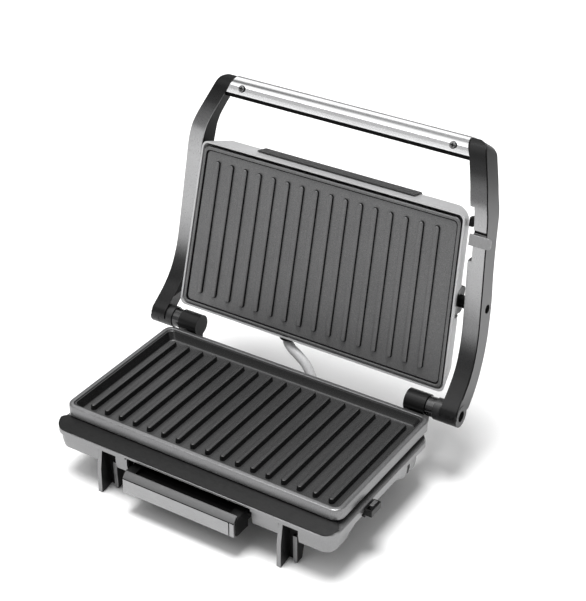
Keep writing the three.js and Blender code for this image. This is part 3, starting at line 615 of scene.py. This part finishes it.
def lower_plate():
    d, h = PLATE_DEPTH, PLATE_HALF
    pan = skin([ring(h - 9.6, 9.6, d - 9.6, 3, -7), ring(h - 8.4, 8.4, d - 8.4, 3.6, -6.8),
                ring(h - 7.8, 7.8, d - 7.8, 4, -6.3), ring(h - 5.2, 5.2, d - 5.2, 4, -1.3),
                ring(h - 4.9, 4.9, d - 4.9, 4, -0.9), ring(h - 4.1, 4.1, d - 4.1, 4, -0.9),
                ring(h - 4.1, 4.1, d - 4.1, 4, -9), ring(h - 5.6, 6, 116.8, 4, -9.4),
                ring(h - 6, 6.4, 116.4, 4, -10.2)])
    profile = [(2.3, -7.6), (2.25, -6.9), (2.0, -4.4), (1.85, -3.8), (1.55, -3.4), (1.1, -3.22),
               (0.7, -3.2)]
    ribs = together(*[rib((i - 8) * RIB_PITCH, 12.4, d - 12.4, profile) for i in range(17)])
    return solid(pan, [ribs], [box(-3.6, 3.6, 8.6, 11.8, -12, -5)])


# Faces steep enough to get the near-black coating: painted shade on rib flanks and pan walls.
def steep(middle, normal):
    return abs(normal.z) < 0.72


# The lower plate gets the darker copy of the coating: painted shade.
plate = piece("lower_plate_fine", lower_plate(), "non_stick_lower_shaded", "base", ["lower_plate"], bevel=0.0,
              smooth=50, slot="non_stick")
# Rib flanks and pan walls get a near-black copy of the coating: painted shade.
second_finish(plate, "non_stick_painted_shade", steep)


SCREWS = [(96, 14), (96, 102), (-96, 102), (-96, 14)]
VENT_ROWS = (24, 32, 40, 48, 56, 64)


def bottom_cover():
    t = 1.4
    inner = TRAY_HALF + 1
    half = SKIRT_HALF - 2.9
    rim_low, low, ceiling = -21.8, -27.6, -19.0
    over = [(half, rim_low), (half, rim_low + t), (104, rim_low + t), (104, low + t), (inner + t, low + t),
            (inner + t, ceiling + t)]
    under = [(inner, ceiling), (inner, -24.2), (inner - 3.2, -24.2), (inner - 3.2, -25.4), (inner, -25.4),
             (inner, low), (104 + t, low), (104 + t, rim_low)]
    over_left, under_left = ([(-x, z) for x, z in half_side][::-1] for half_side in (over, under))
    floor = along_y(over + over_left + under_left + under, -6.4, SKIRT_BACK - 2.8)
    corners = skin([ring(half, -6.4, SKIRT_BACK - 2.8, 5, z) for z in (-40, 0)])
    cuts = [box(-5, 5, 5, 20, -22, -16)]
    cuts += [box(x - 2.4, x + 10, -8, 1.8, -30, -10) for x in (LEG_X, -LEG_X)]
    cuts += [cylinder("z", 1.9, -32, -20, x, y, 24) for x, y in SCREWS]
    cuts += [box(x0, x0 + 30, y, y + 2.4, -30, -20) for x0 in (58, -88) for y in VENT_ROWS]
    return solid(floor, cuts=cuts, keeps=[corners])


piece("bottom_cover_fine", bottom_cover(), "black_plastic", "base", ["bottom_cover"], bevel=0.3)


def front_leg(x):
    root = LIP_LOW - GAP
    low = TABLE_Z + 1.5
    fin = across_x([(-10, root), (-12.6, -34), (-13, TABLE_Z), (-10, TABLE_Z), (-1.4, low), (-1.4, root)],
                   x - 1.7, x + 1.6)
    web = across_x([(-1.6, root), (-1.6, low), (0.8, low), (0.8, root)], x - 1.7, x + 8.6)
    rear = across_x([(0.6, -31), (-3.8, -31), (-3.4, TABLE_Z + 0.4), (3, TABLE_Z + 1), (8.5, -31)],
                    x + 5.6, x + 8.8)
    return solid(fin, [web, rear])


for side, x in (("right", LEG_X), ("left", -LEG_X)):
    leg = piece(f"front_leg_{side}_fine", front_leg(x), "silver_paint", "base", [f"front_leg_{side}"],
                bevel=0.3)
    # Black on the fin's inner face, the web and the rear fin: painted shade in the leg's channel, with the
    # web taken as black plastic too.
    second_finish(leg, "black_plastic", lambda middle, normal: (
        (middle.x > x + 1.65 or normal.x > 0.9) and not (middle.x > x + 5.5 and middle.y < -3)))


def rear_leg():
    post = skin([ring(9, FOOT_Y - 8, FOOT_Y + 8, 3, TABLE_Z + 5.5),
                 ring(9.4, SKIRT_BACK + GAP, FOOT_Y + 7, 3, LIP_LOW - GAP)])
    stem_hole = cylinder("z", 2.1, TABLE_Z - 1, TABLE_Z + 14, LEG_X, FOOT_Y, 24)
    return solid(moved(post, LEG_X), cuts=[stem_hole])


pair("rear_leg_fine", rear_leg(), "black_plastic", "base", "rear_leg", bevel=0.8, segments=3)
foot_profile = [(0, 0), (7.4, 0), (8, 0.5), (7.3, 4.9), (6.9, 5.2), (1.8, 5.2), (1.8, 12), (0, 12)]
foot_shape = turned(foot_profile, LEG_X, FOOT_Y, TABLE_Z)
pair("rear_foot_fine", foot_shape, "rubber", "base", "rear_foot", bevel=0.0)


# ---------- hinge ----------
def hinge_barrel():
    root, top = SKIRT_BACK + GAP, LIP_LOW - GAP
    web = across_x([(root, -27), (root, top), (124, top), (129.2, -8), (134, -5.4), (141, -4), (139, -14),
                    (130, -27)], 92.5, 106.5)
    return solid(cylinder("x", BARREL_R, 91, 107.5, HINGE_Y, HINGE_Z, 72), [web],
                 [cylinder("x", PIN_BORE, 93.5, 115, HINGE_Y, HINGE_Z, 32)])


pair("hinge_barrel_fine", hinge_barrel(), "black_plastic", "base", "hinge_barrel", bevel=0.5, segments=3)
ring_shape = solid(cylinder("x", 7.4, 107.8, 114, HINGE_Y, HINGE_Z, 72),
                   cuts=[cylinder("x", PIN_BORE, 107, 115, HINGE_Y, HINGE_Z, 32)])
pair("hinge_ring_fine", ring_shape, "polished_ring", "base", "hinge_ring", bevel=0.3)
pin_shape = cylinder("x", PIN_R, 93.9, 128, HINGE_Y, HINGE_Z, 40)
pair("hinge_pin_fine", pin_shape, "steel", "base", "hinge_pin", bevel=0.3)


# ---------- arms ----------
ARM_FRONT = [(127.7, 2.4), (128.6, 6.8), (132, 10.9), (141, 18), (149, 26), (156, 37), (161.5, 53),
             (165, 73), (168.4, 95), (172.4, 122), (175.6, 143), (178, 152), (184.4, 164), (190.4, 175),
             (194.6, 181.4), (200.6, 184.7)]
ARM_BACK = [(147, 3), (161, 17), (173.6, 39), (181.4, 67), (184.8, 95), (188.6, 117), (192.8, 137),
            (194.6, 149), (198.4, 158), (203, 167), (208.6, 177.8)]
ARM_AT = [i / 60 for i in range(58)] + [0.967, 0.974, 0.98, 0.985, 0.99, 0.994, 0.997, 0.999, 1.0]
ARM_LENGTH = 214.0
ARM_END_R = 7.0
KNEE_Z = 147.0
KNEE_BLEND = 14.0
SLIDER_Z = (119.4, 127.6)
NOTCH_Z = (107.0, 146.0)
NOTCH = 3.0


def inset(points, distance):
    """An edge of the side view moved back by distance, square to its run."""
    result = []
    for i, p in enumerate(points):
        a = points[max(i - 1, 0)]
        b = points[min(i + 1, len(points) - 1)]
        length = math.dist(a, b)
        result.append((p[0] + distance * (b[1] - a[1]) / length, p[1] - distance * (b[0] - a[0]) / length))
    return result


def arm_outer(z):
    """How far out the arm's outer face is at height z: it leans in, and more so above the knee."""
    past = max(z - KNEE_Z + KNEE_BLEND, 0)
    bend = past * past / (4 * KNEE_BLEND) if past < 2 * KNEE_BLEND else z - KNEE_Z
    return 133.5 - 0.06 * max(z - 5, 0) - 0.33 * bend


def end_inset(i):
    """How far the arm's round top end is drawn in at place i."""
    left = min((1 - ARM_AT[i]) * ARM_LENGTH + 0.15, ARM_END_R)
    return ARM_END_R - math.sqrt(ARM_END_R ** 2 - (ARM_END_R - left) ** 2)


def arm_loft(front, back, x0, x1):
    """A solid between two edges of the side view; x0 and x1 are measured from the arm's outer face."""
    loops = []
    for i, ((fy, fz), (by, bz)) in enumerate(zip(front, back)):
        f, b = arm_outer(fz), arm_outer(bz)
        end = end_inset(i) if x1 > -1 else 0
        loops.append([(x0 + f, fy, fz), (x1 + f - end, fy, fz), (x1 + b - end, by, bz), (x0 + b, by, bz)])
    return skin(loops)


front_edge = at_shares(spline(ARM_FRONT), ARM_AT)
back_edge = at_shares(spline(ARM_BACK), ARM_AT)
pivot = LID_MM @ Vector((0, PIVOT_S, PIVOT_O))


def notch():
    low, high = NOTCH_Z
    inner = [(arm_outer(z) - ARM_WIDE + NOTCH, z) for z in (low, 120, 133, 140, high)]
    return along_y([(90, low)] + inner + [(90, high)], 120, 220)


def arm_core(right):
    side = arm_loft(inset(front_edge, 1.2), back_edge, 1.9 - ARM_WIDE, 0)
    joins = [cylinder("x", 8.2, 114.3, 133.5, HINGE_Y, HINGE_Z, 72)]
    groove = solid(cylinder("x", 9, 125.8, 126.3, HINGE_Y, HINGE_Z, 72),
                   cuts=[cylinder("x", 7.9, 125, 127, HINGE_Y, HINGE_Z, 72)])
    cuts = [arm_loft(inset(front_edge, -2), inset(front_edge, 1.2), -ARM_WIDE - 1, 1.5),
            cylinder("x", PIN_BORE, 110, 129.4, HINGE_Y, HINGE_Z, 32),
            cylinder("x", 4.2, 129.3, 140, HINGE_Y, HINGE_Z, 32),
            cylinder("x", 2.8, 100, 140, pivot.y, pivot.z, 32),
            cylinder("x", 3.4, arm_outer(pivot.z) - 5, 140, pivot.y, pivot.z, 32), groove]
    if right:
        count = next(i for i, p in enumerate(front_edge) if p[1] > NOTCH_Z[0] + 3)
        joins.append(arm_loft(inset(front_edge, 1.2)[:count], back_edge[:count], -ARM_WIDE, 3 - ARM_WIDE))
        cuts.append(notch())
    return solid(side, joins, cuts)


def arm_trim(right, z0, z1):
    strip = arm_loft(front_edge, inset(front_edge, 0.9), -ARM_WIDE, -0.6)
    return solid(strip, cuts=[notch()] if right else [], keeps=[box(90, 140, 120, 215, z0, z1)])


def arm_liner(start):
    first = max(next(i for i, p in enumerate(front_edge) if p[1] > start), 6)
    sheet = arm_loft(inset(front_edge, 1.3)[first:-2], inset(back_edge, -0.8)[first:-2],
                     -ARM_WIDE, 0.9 - ARM_WIDE)
    return solid(sheet, cuts=[cylinder("x", 4.4, 100, 140, pivot.y, pivot.z, 32)])


def core_front_shade(middle, normal):
    """True on the front of the arm's outer edge, beside the trim, where it is made black as painted shade in
    the gap.
    """
    return middle.y > 2 and normal.z > 0.3 and abs(normal.x) < 0.5


def arm(side, flip):
    right = side == "right"
    top = SLIDER_Z[1]
    above_slot = top + (2.3 if right else GAP + 0.02)

    def put(name, shape, finish, **options):
        node = f"{name}_{side}"
        return piece(f"{node}_fine", in_lid(flip(shape)), finish, "arms", [node], True, **options)

    core = put("arm", arm_core(right), "arm_alloy", bevel=0.5, segments=3, angle=40)
    # Painted shade: the core's front shows only in the gap above the lock slider and beside the trim, and is
    # made black there.
    second_finish(core, "black_plastic", core_front_shade)
    put("arm_trim_lower", arm_trim(right, -10, top + GAP), "arm_trim", bevel=0.1)
    put("arm_trim_upper", arm_trim(right, above_slot, 200), "arm_trim", bevel=0.1)
    put("arm_liner", arm_liner(NOTCH_Z[1] + 1 if right else 0), "black_matte", bevel=0.25,
        slot="black_plastic")


arm("right", lambda shape: shape)
arm("left", mirrored)


def lock_slider():
    x = arm_outer(124)
    low, high = SLIDER_Z
    thickness = 1.7
    slant = 0.12

    def front(z):
        return 172.1 + 0.15 * (z - 122) - 0.45

    start, end = x - ARM_WIDE + 0.8, x + 4.6
    r = 2.2
    outline = [(start, low), (end - r, low), (end - 0.6, low + 0.6), (end, low + r), (end, high - r),
               (end - 0.6, high - 0.6), (end - r, high), (start, high)]
    return skin([[(px, front(z) - ahead, z + ahead * slant) for px, z in outline]
                 for ahead in (thickness, 0)])


piece("lock_slider_fine", in_lid(lock_slider()), "slider_grey", "slider", ["lock_slider"], True, bevel=0.35)


# ---------- handle ----------
def handle_profile(r, flat, steps=40):
    points = [(flat, HANDLE_O + r)]
    for i in range(steps + 1):
        a = math.pi * i / steps
        points.append((HANDLE_S + r * math.sin(a), HANDLE_O + r * math.cos(a)))
    points.append((flat, HANDLE_O - r))
    return points


SCREW_X = 87.5
SCREW_LEAN = math.radians(12)
HANDLE_AXIS = Matrix.Translation((0, HANDLE_S, HANDLE_O))
LEAN = HANDLE_AXIS @ Matrix.Rotation(-SCREW_LEAN, 4, "X") @ HANDLE_AXIS.inverted()


def leaned(shape):
    """Leans a shape that stands on the handle's front round the handle's own axis."""
    return turned_by(shape, LEAN)


def screw_holes():
    return [leaned(cylinder("z", 1.7, HANDLE_O - 2, HANDLE_O + 12, x, HANDLE_S, 24))
            for x in (SCREW_X, -SCREW_X)]


def between_arms(profile):
    """A bar across the lid's frame with this (s, o) side profile, its ends slanted to meet the arms."""
    def half(s, o):
        height = LID_Z + s * math.sin(LID_LEAN) + o * math.cos(LID_LEAN)
        return arm_outer(height) - ARM_WIDE - GAP

    return skin([[(side * half(s, o), s, o) for s, o in profile] for side in (1, -1)])


hollow = across_x(handle_profile(HANDLE_R - 1, HANDLE_S - 5), -120, 120)
cover = solid(between_arms(handle_profile(HANDLE_R, HANDLE_S - 3.1)), cuts=[hollow] + screw_holes())
piece("handle_cover_fine", cover, "handle_steel", "arms", ["handle_cover"], True, bevel=0.25, slot="steel")
core_profile = handle_profile(HANDLE_R - 1 - GAP, HANDLE_S - 6.2)
piece("handle_core_fine", solid(between_arms(core_profile), cuts=screw_holes()),
      "black_matte", "arms", ["handle_core"], True, bevel=0.6, segments=3, slot="black_plastic")


def handle_screw(x):
    top = HANDLE_O + HANDLE_R
    profile = [(0, 0), (2.7, 0), (2.7, 0.5), (2.3, 1.0), (1.2, 1.2), (0, 1.25)]
    head = turned(profile, x, HANDLE_S, top + 0.1, n=32)
    shank = cylinder("z", 1.3, HANDLE_O - 1, top + 0.3, x, HANDLE_S, 24)
    cross = [box(x - 1.7, x + 1.7, HANDLE_S - 0.4, HANDLE_S + 0.4, top + 0.6, top + 3),
             box(x - 0.4, x + 0.4, HANDLE_S - 1.7, HANDLE_S + 1.7, top + 0.6, top + 3)]
    return solid(head, [shank], cross)


for side, x in (("right", SCREW_X), ("left", -SCREW_X)):
    node = f"handle_screw_{side}"
    screw = piece(f"{node}_fine", leaned(handle_screw(x)), "screw_steel", "arms", [node], True, bevel=0.0,
                  slot="steel")
    # Painted shade: the screw head's sides and its cross slot are made black.
    second_finish(screw, "black_matte", lambda middle, normal: (
        normal.z < 0.8 or (LEAN.inverted() @ middle).z < HANDLE_O + HANDLE_R + 0.65))


# ---------- lid ----------
def tapered(shape):
    """The lid is a little narrower at its top edge than at the hinge side."""
    return [(x * (1.0022 - 0.000384 * (y - UPPER_LENGTH / 2)), y, z) for x, y, z in shape[0]], shape[1]


def bush_outline(g):
    return [(PIVOT_S + u, o) for u, o, z in ring(10.4 + g, -28 - g, -8 + g, 4, 0)]


def lid_cover():
    t = 1.3
    outer = [(112.4, -1, 131.4, 5, -1.6), (108, 1.6, 131.2, 11, -COVER_DEPTH),
             (106.6, 3.2, 129.8, 11, -22), (99, 11, 121.5, 9, -CROWN_DEPTH + 3),
             (94, 16, 116.5, 8, -CROWN_DEPTH + 0.9), (88, 22, 111, 7, -CROWN_DEPTH)]
    inner = [(88 - t, 22 + t, 111 - t, 6, -CROWN_DEPTH + t),
             (99 - t, 11 + t, 121.5 - t, 8, -CROWN_DEPTH + 3.6),
             (108 - t, 1.6 + t, 131.2 - t, 10, -COVER_DEPTH + 0.6),
             (112.4 - t, -1 + t, 131.4 - t, 4.2, -1.6)]
    seats = [across_x(bush_outline(GAP), x0, x1) for x0, x1 in ((102.1, 120), (-120, -102.1))]
    lead_hole = cylinder("y", 6.2, -10, 10, LEAD_X, LEAD_O, 40)
    return solid(tapered(skin([ring(*r) for r in inner + outer])), cuts=seats + [lead_hole])


piece("lid_cover_fine", lid_cover(), "lid_silver", "lid", ["lid_cover"], True, bevel=0.35, angle=40)


def upper_plate():
    h, d = UPPER_HALF - 1.3, UPPER_LENGTH
    steps = [(3.4, 3.2, -2.6), (3.2, 3.2, -3.0), (2.5, 3.2, -3.0), (2.35, 3.4, -1.5), (2.1, 3.5, -1.3),
             (1.0, 4.0, -1.3), (0.5, 4.3, -1.45), (0.15, 4.5, -1.75), (0.0, 4.6, -2.1), (1.4, 4.6, -6),
             (3.8, 4.6, -6.6)]
    pan = skin([ring(h - k, 1.1 + k, d - 1.1 - k, r, z) for k, r, z in steps])
    profile = [(2.3, -3.2), (2.25, -2.6), (2.0, -1.4), (1.85, -0.95), (1.55, -0.68), (1.1, -0.52),
               (0.7, -0.5)]
    ribs = together(*[rib((i - 7.5) * RIB_PITCH - 2.2, 11.4, d - 10.6, profile) for i in range(16)])
    return tapered(solid(pan, [ribs]))


plate = piece("upper_plate_fine", upper_plate(), "non_stick", "lid", ["upper_plate"], True, bevel=0.0,
              smooth=50)
# Rib flanks, walls and the groove round the floor get a near-black copy of the coating: painted shade.
second_finish(plate, "non_stick_painted_shade", lambda middle, normal: steep(middle, normal) or middle.z < -2.8)


def control_inlay():
    return across_x([(131.7, -9), (131.55, -20.1), (121.9, -28.6), (114, -30.6), (114.2, -31.7),
                     (122.4, -29.7), (132.7, -20.5), (132.8, -9)], -66, 66)


piece("control_inlay_fine", control_inlay(), "gloss_black", "lid", ["control_inlay"], True, bevel=0.4)


def lamp_lens(x):
    dome = turned([(0, 0), (3.2, 0), (3.2, 0.8), (3.0, 1.2), (2.2, 1.6), (1.2, 1.9), (0, 2)], 0, 0, 0, n=32)
    tilt = Matrix.Translation((x, 127.6, -25.7)) @ Matrix.Rotation(-math.pi + math.atan2(8.3, 9.7), 4, "X")
    return turned_by(dome, tilt)


piece("lamp_power_fine", lamp_lens(-14), "lamp_red", "lid", ["lamp_power"], True, bevel=0.0)
piece("lamp_ready_fine", lamp_lens(14), "lamp_green", "lid", ["lamp_ready"], True, bevel=0.0)


def pivot_bush():
    wall = along_y([(100, -6), (111, -6), (107.9, -19), (107.9, -40), (100, -40)], 0, 130)
    block = solid(across_x(bush_outline(0), 102.4, 113), keeps=[wall])
    return solid(block, [cylinder("x", 4.6, 106, 114.2, PIVOT_S, PIVOT_O, 40)],
                 [cylinder("x", 2.9, 100, 120, PIVOT_S, PIVOT_O, 32)])


pair("pivot_bush_fine", pivot_bush(), "black_plastic", "lid", "pivot_bush", True, bevel=0.5)
screw_shape = solid(cylinder("x", 3.1, 125.2, 127.2, PIVOT_S, PIVOT_O, 32),
                    [cylinder("x", 2.5, 102.8, 126, PIVOT_S, PIVOT_O, 32)],
                    [cylinder("x", 1.4, 126.2, 128, PIVOT_S, PIVOT_O, 6)])
pair("pivot_screw_fine", screw_shape, "steel", "arms", "pivot_screw", True, bevel=0.2)
bumper_shape = moved(box(0, 3.4, 0, 7, 0, 5), 107.9, 120, -19)
pair("lid_bumper_fine", bumper_shape, "rubber", "lid", "lid_bumper", True, bevel=0.6, segments=3)


# ---------- drip tray ----------
def drip_tray():
    tub = skin([ring(43, -7.6, 101.6, 2, -33.2), ring(43, -7.6, 101.6, 2, -25),
                ring(45.9, -7.6, 101.6, 2, -20.6), ring(TRAY_HALF - 0.2, -9, 103, 3, -20.6),
                ring(TRAY_HALF - 0.2, -9, 103, 3, -23.9),
                ring(44.8, -9, 103, 3, -23.9), ring(44, -9, 103, 3, -34.8)])
    face = TRAY_FRONT + 2.4
    side = [(face, -35.2), (face, -22.8), (-19.7, -21.1), (-18.4, -20.5), (-7, -20.5), (-7, -35.2)]
    block = across_x(side, -TRAY_HALF, TRAY_HALF)
    return solid(tub, [block], [cylinder("x", 10.5, -40, 40, -9.5, -13.4, 64)])


piece("drip_tray_fine", drip_tray(), "black_plastic", "tray", ["drip_tray"], bevel=0.3)


def tray_front():
    f = TRAY_FRONT
    profile = [(f + 2.1, -35.4), (f + 0.3, -35.4), (f, -35), (f, -24.1), (f + 0.5, -23.9), (f + 0.5, -23.5),
               (f, -23.3), (f + 3.2, -20.1), (f + 4.8, -19.6), (f + 4.8, -20.2), (f + 3.1, -20.8),
               (f + 2.1, -22.8)]
    groove = box(42.3, 43.1, f - 1, f + 0.5, -36, -23.6)
    return solid(across_x(profile, -TRAY_HALF + 1, TRAY_HALF - 1), cuts=[groove])


# Faces in the tray front's grooves, made black as painted shade.
def tray_groove_shade(middle, normal):
    lengthwise = TRAY_FRONT + 0.2 < middle.y < TRAY_FRONT + 0.6 and normal.y < 0.5
    upright = abs(normal.x) > 0.9 and abs(middle.x) < 45
    return lengthwise or upright


panel = piece("tray_front_fine", tray_front(), "silver_brushed", "tray", ["tray_front"], bevel=0.15,
              slot="silver_paint")
# The top bevel gets a darker copy of the brushed steel: painted shade.
second_finish(panel, "tray_bevel_shaded", lambda middle, normal: normal.z > 0.3 and middle.z > -23.2)
# The groove walls are made black: painted shade in the grooves.
second_finish(panel, "black_matte", tray_groove_shade)


# ---------- side catch ----------
def catch_guide():
    body = box(LIP_HALF + GAP, 123.6, 28, 41, -19.4, -14)
    root = box(SKIRT_HALF + GAP, LIP_HALF + 1, 28, 41, -21.4, LIP_LOW - GAP)
    return solid(body, [root], [box(118.9, 122.2, 29.4, 39.6, -17, 0)])


piece("catch_guide_fine", catch_guide(), "black_plastic", "base", ["catch_guide"], bevel=0.3)
piece("side_catch_fine", box(119.2, 121.9, 32.6, 39.2, -16.6, -13.1), "silver_paint", "catch",
      ["side_catch"], bevel=0.3)

# ---------- wiring ----------
LEAD = [(14, 119.6, -24.2), (14, 124.5, -24.0), (13.2, 130.5, -20), (9.6, 136, -11), (2.6, 139.6, -3.6),
        (-6, 142.6, 0.4), (-14, 145.6, 2.4), (-19, 148, 4.8), (-20, 148.75, 7.2)]


def hinge_lead():
    """The lead bends between the base and the arms, so its points are given in the row frame."""
    shape = tube(spaced(spline(LEAD), 90), LEAD_R, 28)
    mesh = bpy.data.meshes.new("hinge_lead_fine")
    row = [tuple(BASE @ (Vector(p) * MM)) for p in shape[0]]
    mesh.from_pydata(row, [], shape[1])
    for polygon in mesh.polygons:
        polygon.use_smooth = len(polygon.vertices) == 4
    mesh.materials.append(FINISHES["lead_grey"])
    obj = bpy.data.objects.new("hinge_lead_fine", mesh)
    scene.collection.objects.link(obj)
    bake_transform(obj)
    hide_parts("hinge_lead")


hinge_lead()


def wall_gland(x, z, length, r0, r1, bore):
    y0 = SKIRT_BACK + GAP
    body = cylinder("y", r0, y0, y0 + length, x, z, 40, r1)
    return solid(body, cuts=[cylinder("y", bore, y0 + length - 2, y0 + length + 4, x, z, 32)])


piece("lead_gland_base_fine", wall_gland(14, -24.2, 7, 6.4, 5.2, 3.2), "black_plastic", "base",
      ["lead_gland_base"])
piece("cord_inlet_fine", wall_gland(-48, -24.2, 6, 6.4, 5.6, 3.2), "black_plastic", "base", ["cord_inlet"])
gland = solid(cylinder("y", 5.8, -3.3, 0.1, LEAD_X, LEAD_O, 40),
              cuts=[cylinder("y", 4.6, -4.3, -2.3, LEAD_X, LEAD_O, 32)])
piece("lead_gland_lid_fine", gland, "black_plastic", "lid", ["lead_gland_lid"], True, bevel=0.3)


# ---------- inner pieces that keep their CAD shape ----------
def same_shape(node, finish, body):
    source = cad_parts[node]
    inverse = BASE.inverted()
    points = [tuple((inverse @ (source.matrix_world @ v.co)) / MM) for v in source.data.vertices]
    faces = [tuple(p.vertices) for p in source.data.polygons]
    piece(f"{node}_fine", (points, faces), finish, body, [node], bevel=0.0)


for node, finish, body in (
        ("lower_element", "rod_steel", "base"), ("lower_heat_shield", "steel", "base"),
        ("terminal_block", "ceramic", "base"), ("thermostat", "ceramic", "base"),
        ("upper_element", "rod_steel", "lid"), ("upper_heat_shield", "steel", "lid")):
    same_shape(node, finish, body)
for i in range(len(SCREWS)):
    same_shape(f"base_screw_{i + 1}", "steel", "base")


# ---------- floor and light ----------
def floor():
    mesh = bpy.data.meshes.new("floor")
    corners = ((-1, -1), (1, -1), (1, 1), (-1, 1))
    mesh.from_pydata([(FLOOR_HALF * x, FLOOR_HALF * y, 0) for x, y in corners], [], [(0, 1, 2, 3)])
    material = bpy.data.materials.new("floor")
    material.use_nodes = True
    shader = material.node_tree.nodes["Principled BSDF"]
    shader.inputs["Base Color"].default_value = (0.92, 0.92, 0.92, 1)
    shader.inputs["Roughness"].default_value = 0.9
    shader.inputs["Specular IOR Level"].default_value = 0.1
    mesh.materials.append(material)
    obj = bpy.data.objects.new("floor", mesh)
    obj.location.z = FLOOR_Z
    scene.collection.objects.link(obj)


floor()


def area_light(name, location, target, size, size_y, power):
    data = bpy.data.lights.new(name, "AREA")
    data.shape = "RECTANGLE"
    data.size = size
    data.size_y = size_y
    data.energy = power
    obj = bpy.data.objects.new(name, data)
    obj.location = location
    obj.rotation_euler = (Vector(target) - Vector(location)).to_track_quat("-Z", "Y").to_euler()
    scene.collection.objects.link(obj)


area_light("softbox", (-0.62, -1.02, 1.75), (0, 0, 0.15), 1.5, 1.5, 11)
area_light("low_card", (-0.85, -1.4, 0.5), (0, 0, 0.2), 1.3, 0.8, 0.9)
area_light("back_card", (-0.87, 0.94, 1.4), (0, 0, 0.15), 1.2, 1.0, 4)
area_light("side", (1.6, 0.1, 0.9), (0, 0, 0.1), 0.6, 0.8, 3)


def overhead():
    data = bpy.data.lights.new("overhead", "SUN")
    data.energy = 3.0
    data.angle = math.radians(24)
    obj = bpy.data.objects.new("overhead", data)
    obj.rotation_euler = Vector((0.05, 0.08, -1)).to_track_quat("-Z", "Y").to_euler()
    scene.collection.objects.link(obj)


overhead()


def sky():
    """Grey round the horizon and brighter overhead, as under a studio ceiling."""
    world = bpy.data.worlds.new("studio")
    scene.world = world
    world.use_nodes = True
    tree = world.node_tree
    background = tree.nodes["Background"]
    coordinates = tree.nodes.new("ShaderNodeTexCoord")
    split = tree.nodes.new("ShaderNodeSeparateXYZ")
    link(tree, coordinates, "Generated", split, "Vector")
    ramp = grey_ramp(tree, [(0.0, 0.34), (1.0, 0.80)])
    link(tree, split, "Z", ramp, "Fac")
    link(tree, ramp, "Color", background, "Color")
    background.inputs["Strength"].default_value = 0.6


sky()
scene.view_settings.view_transform = "Standard"
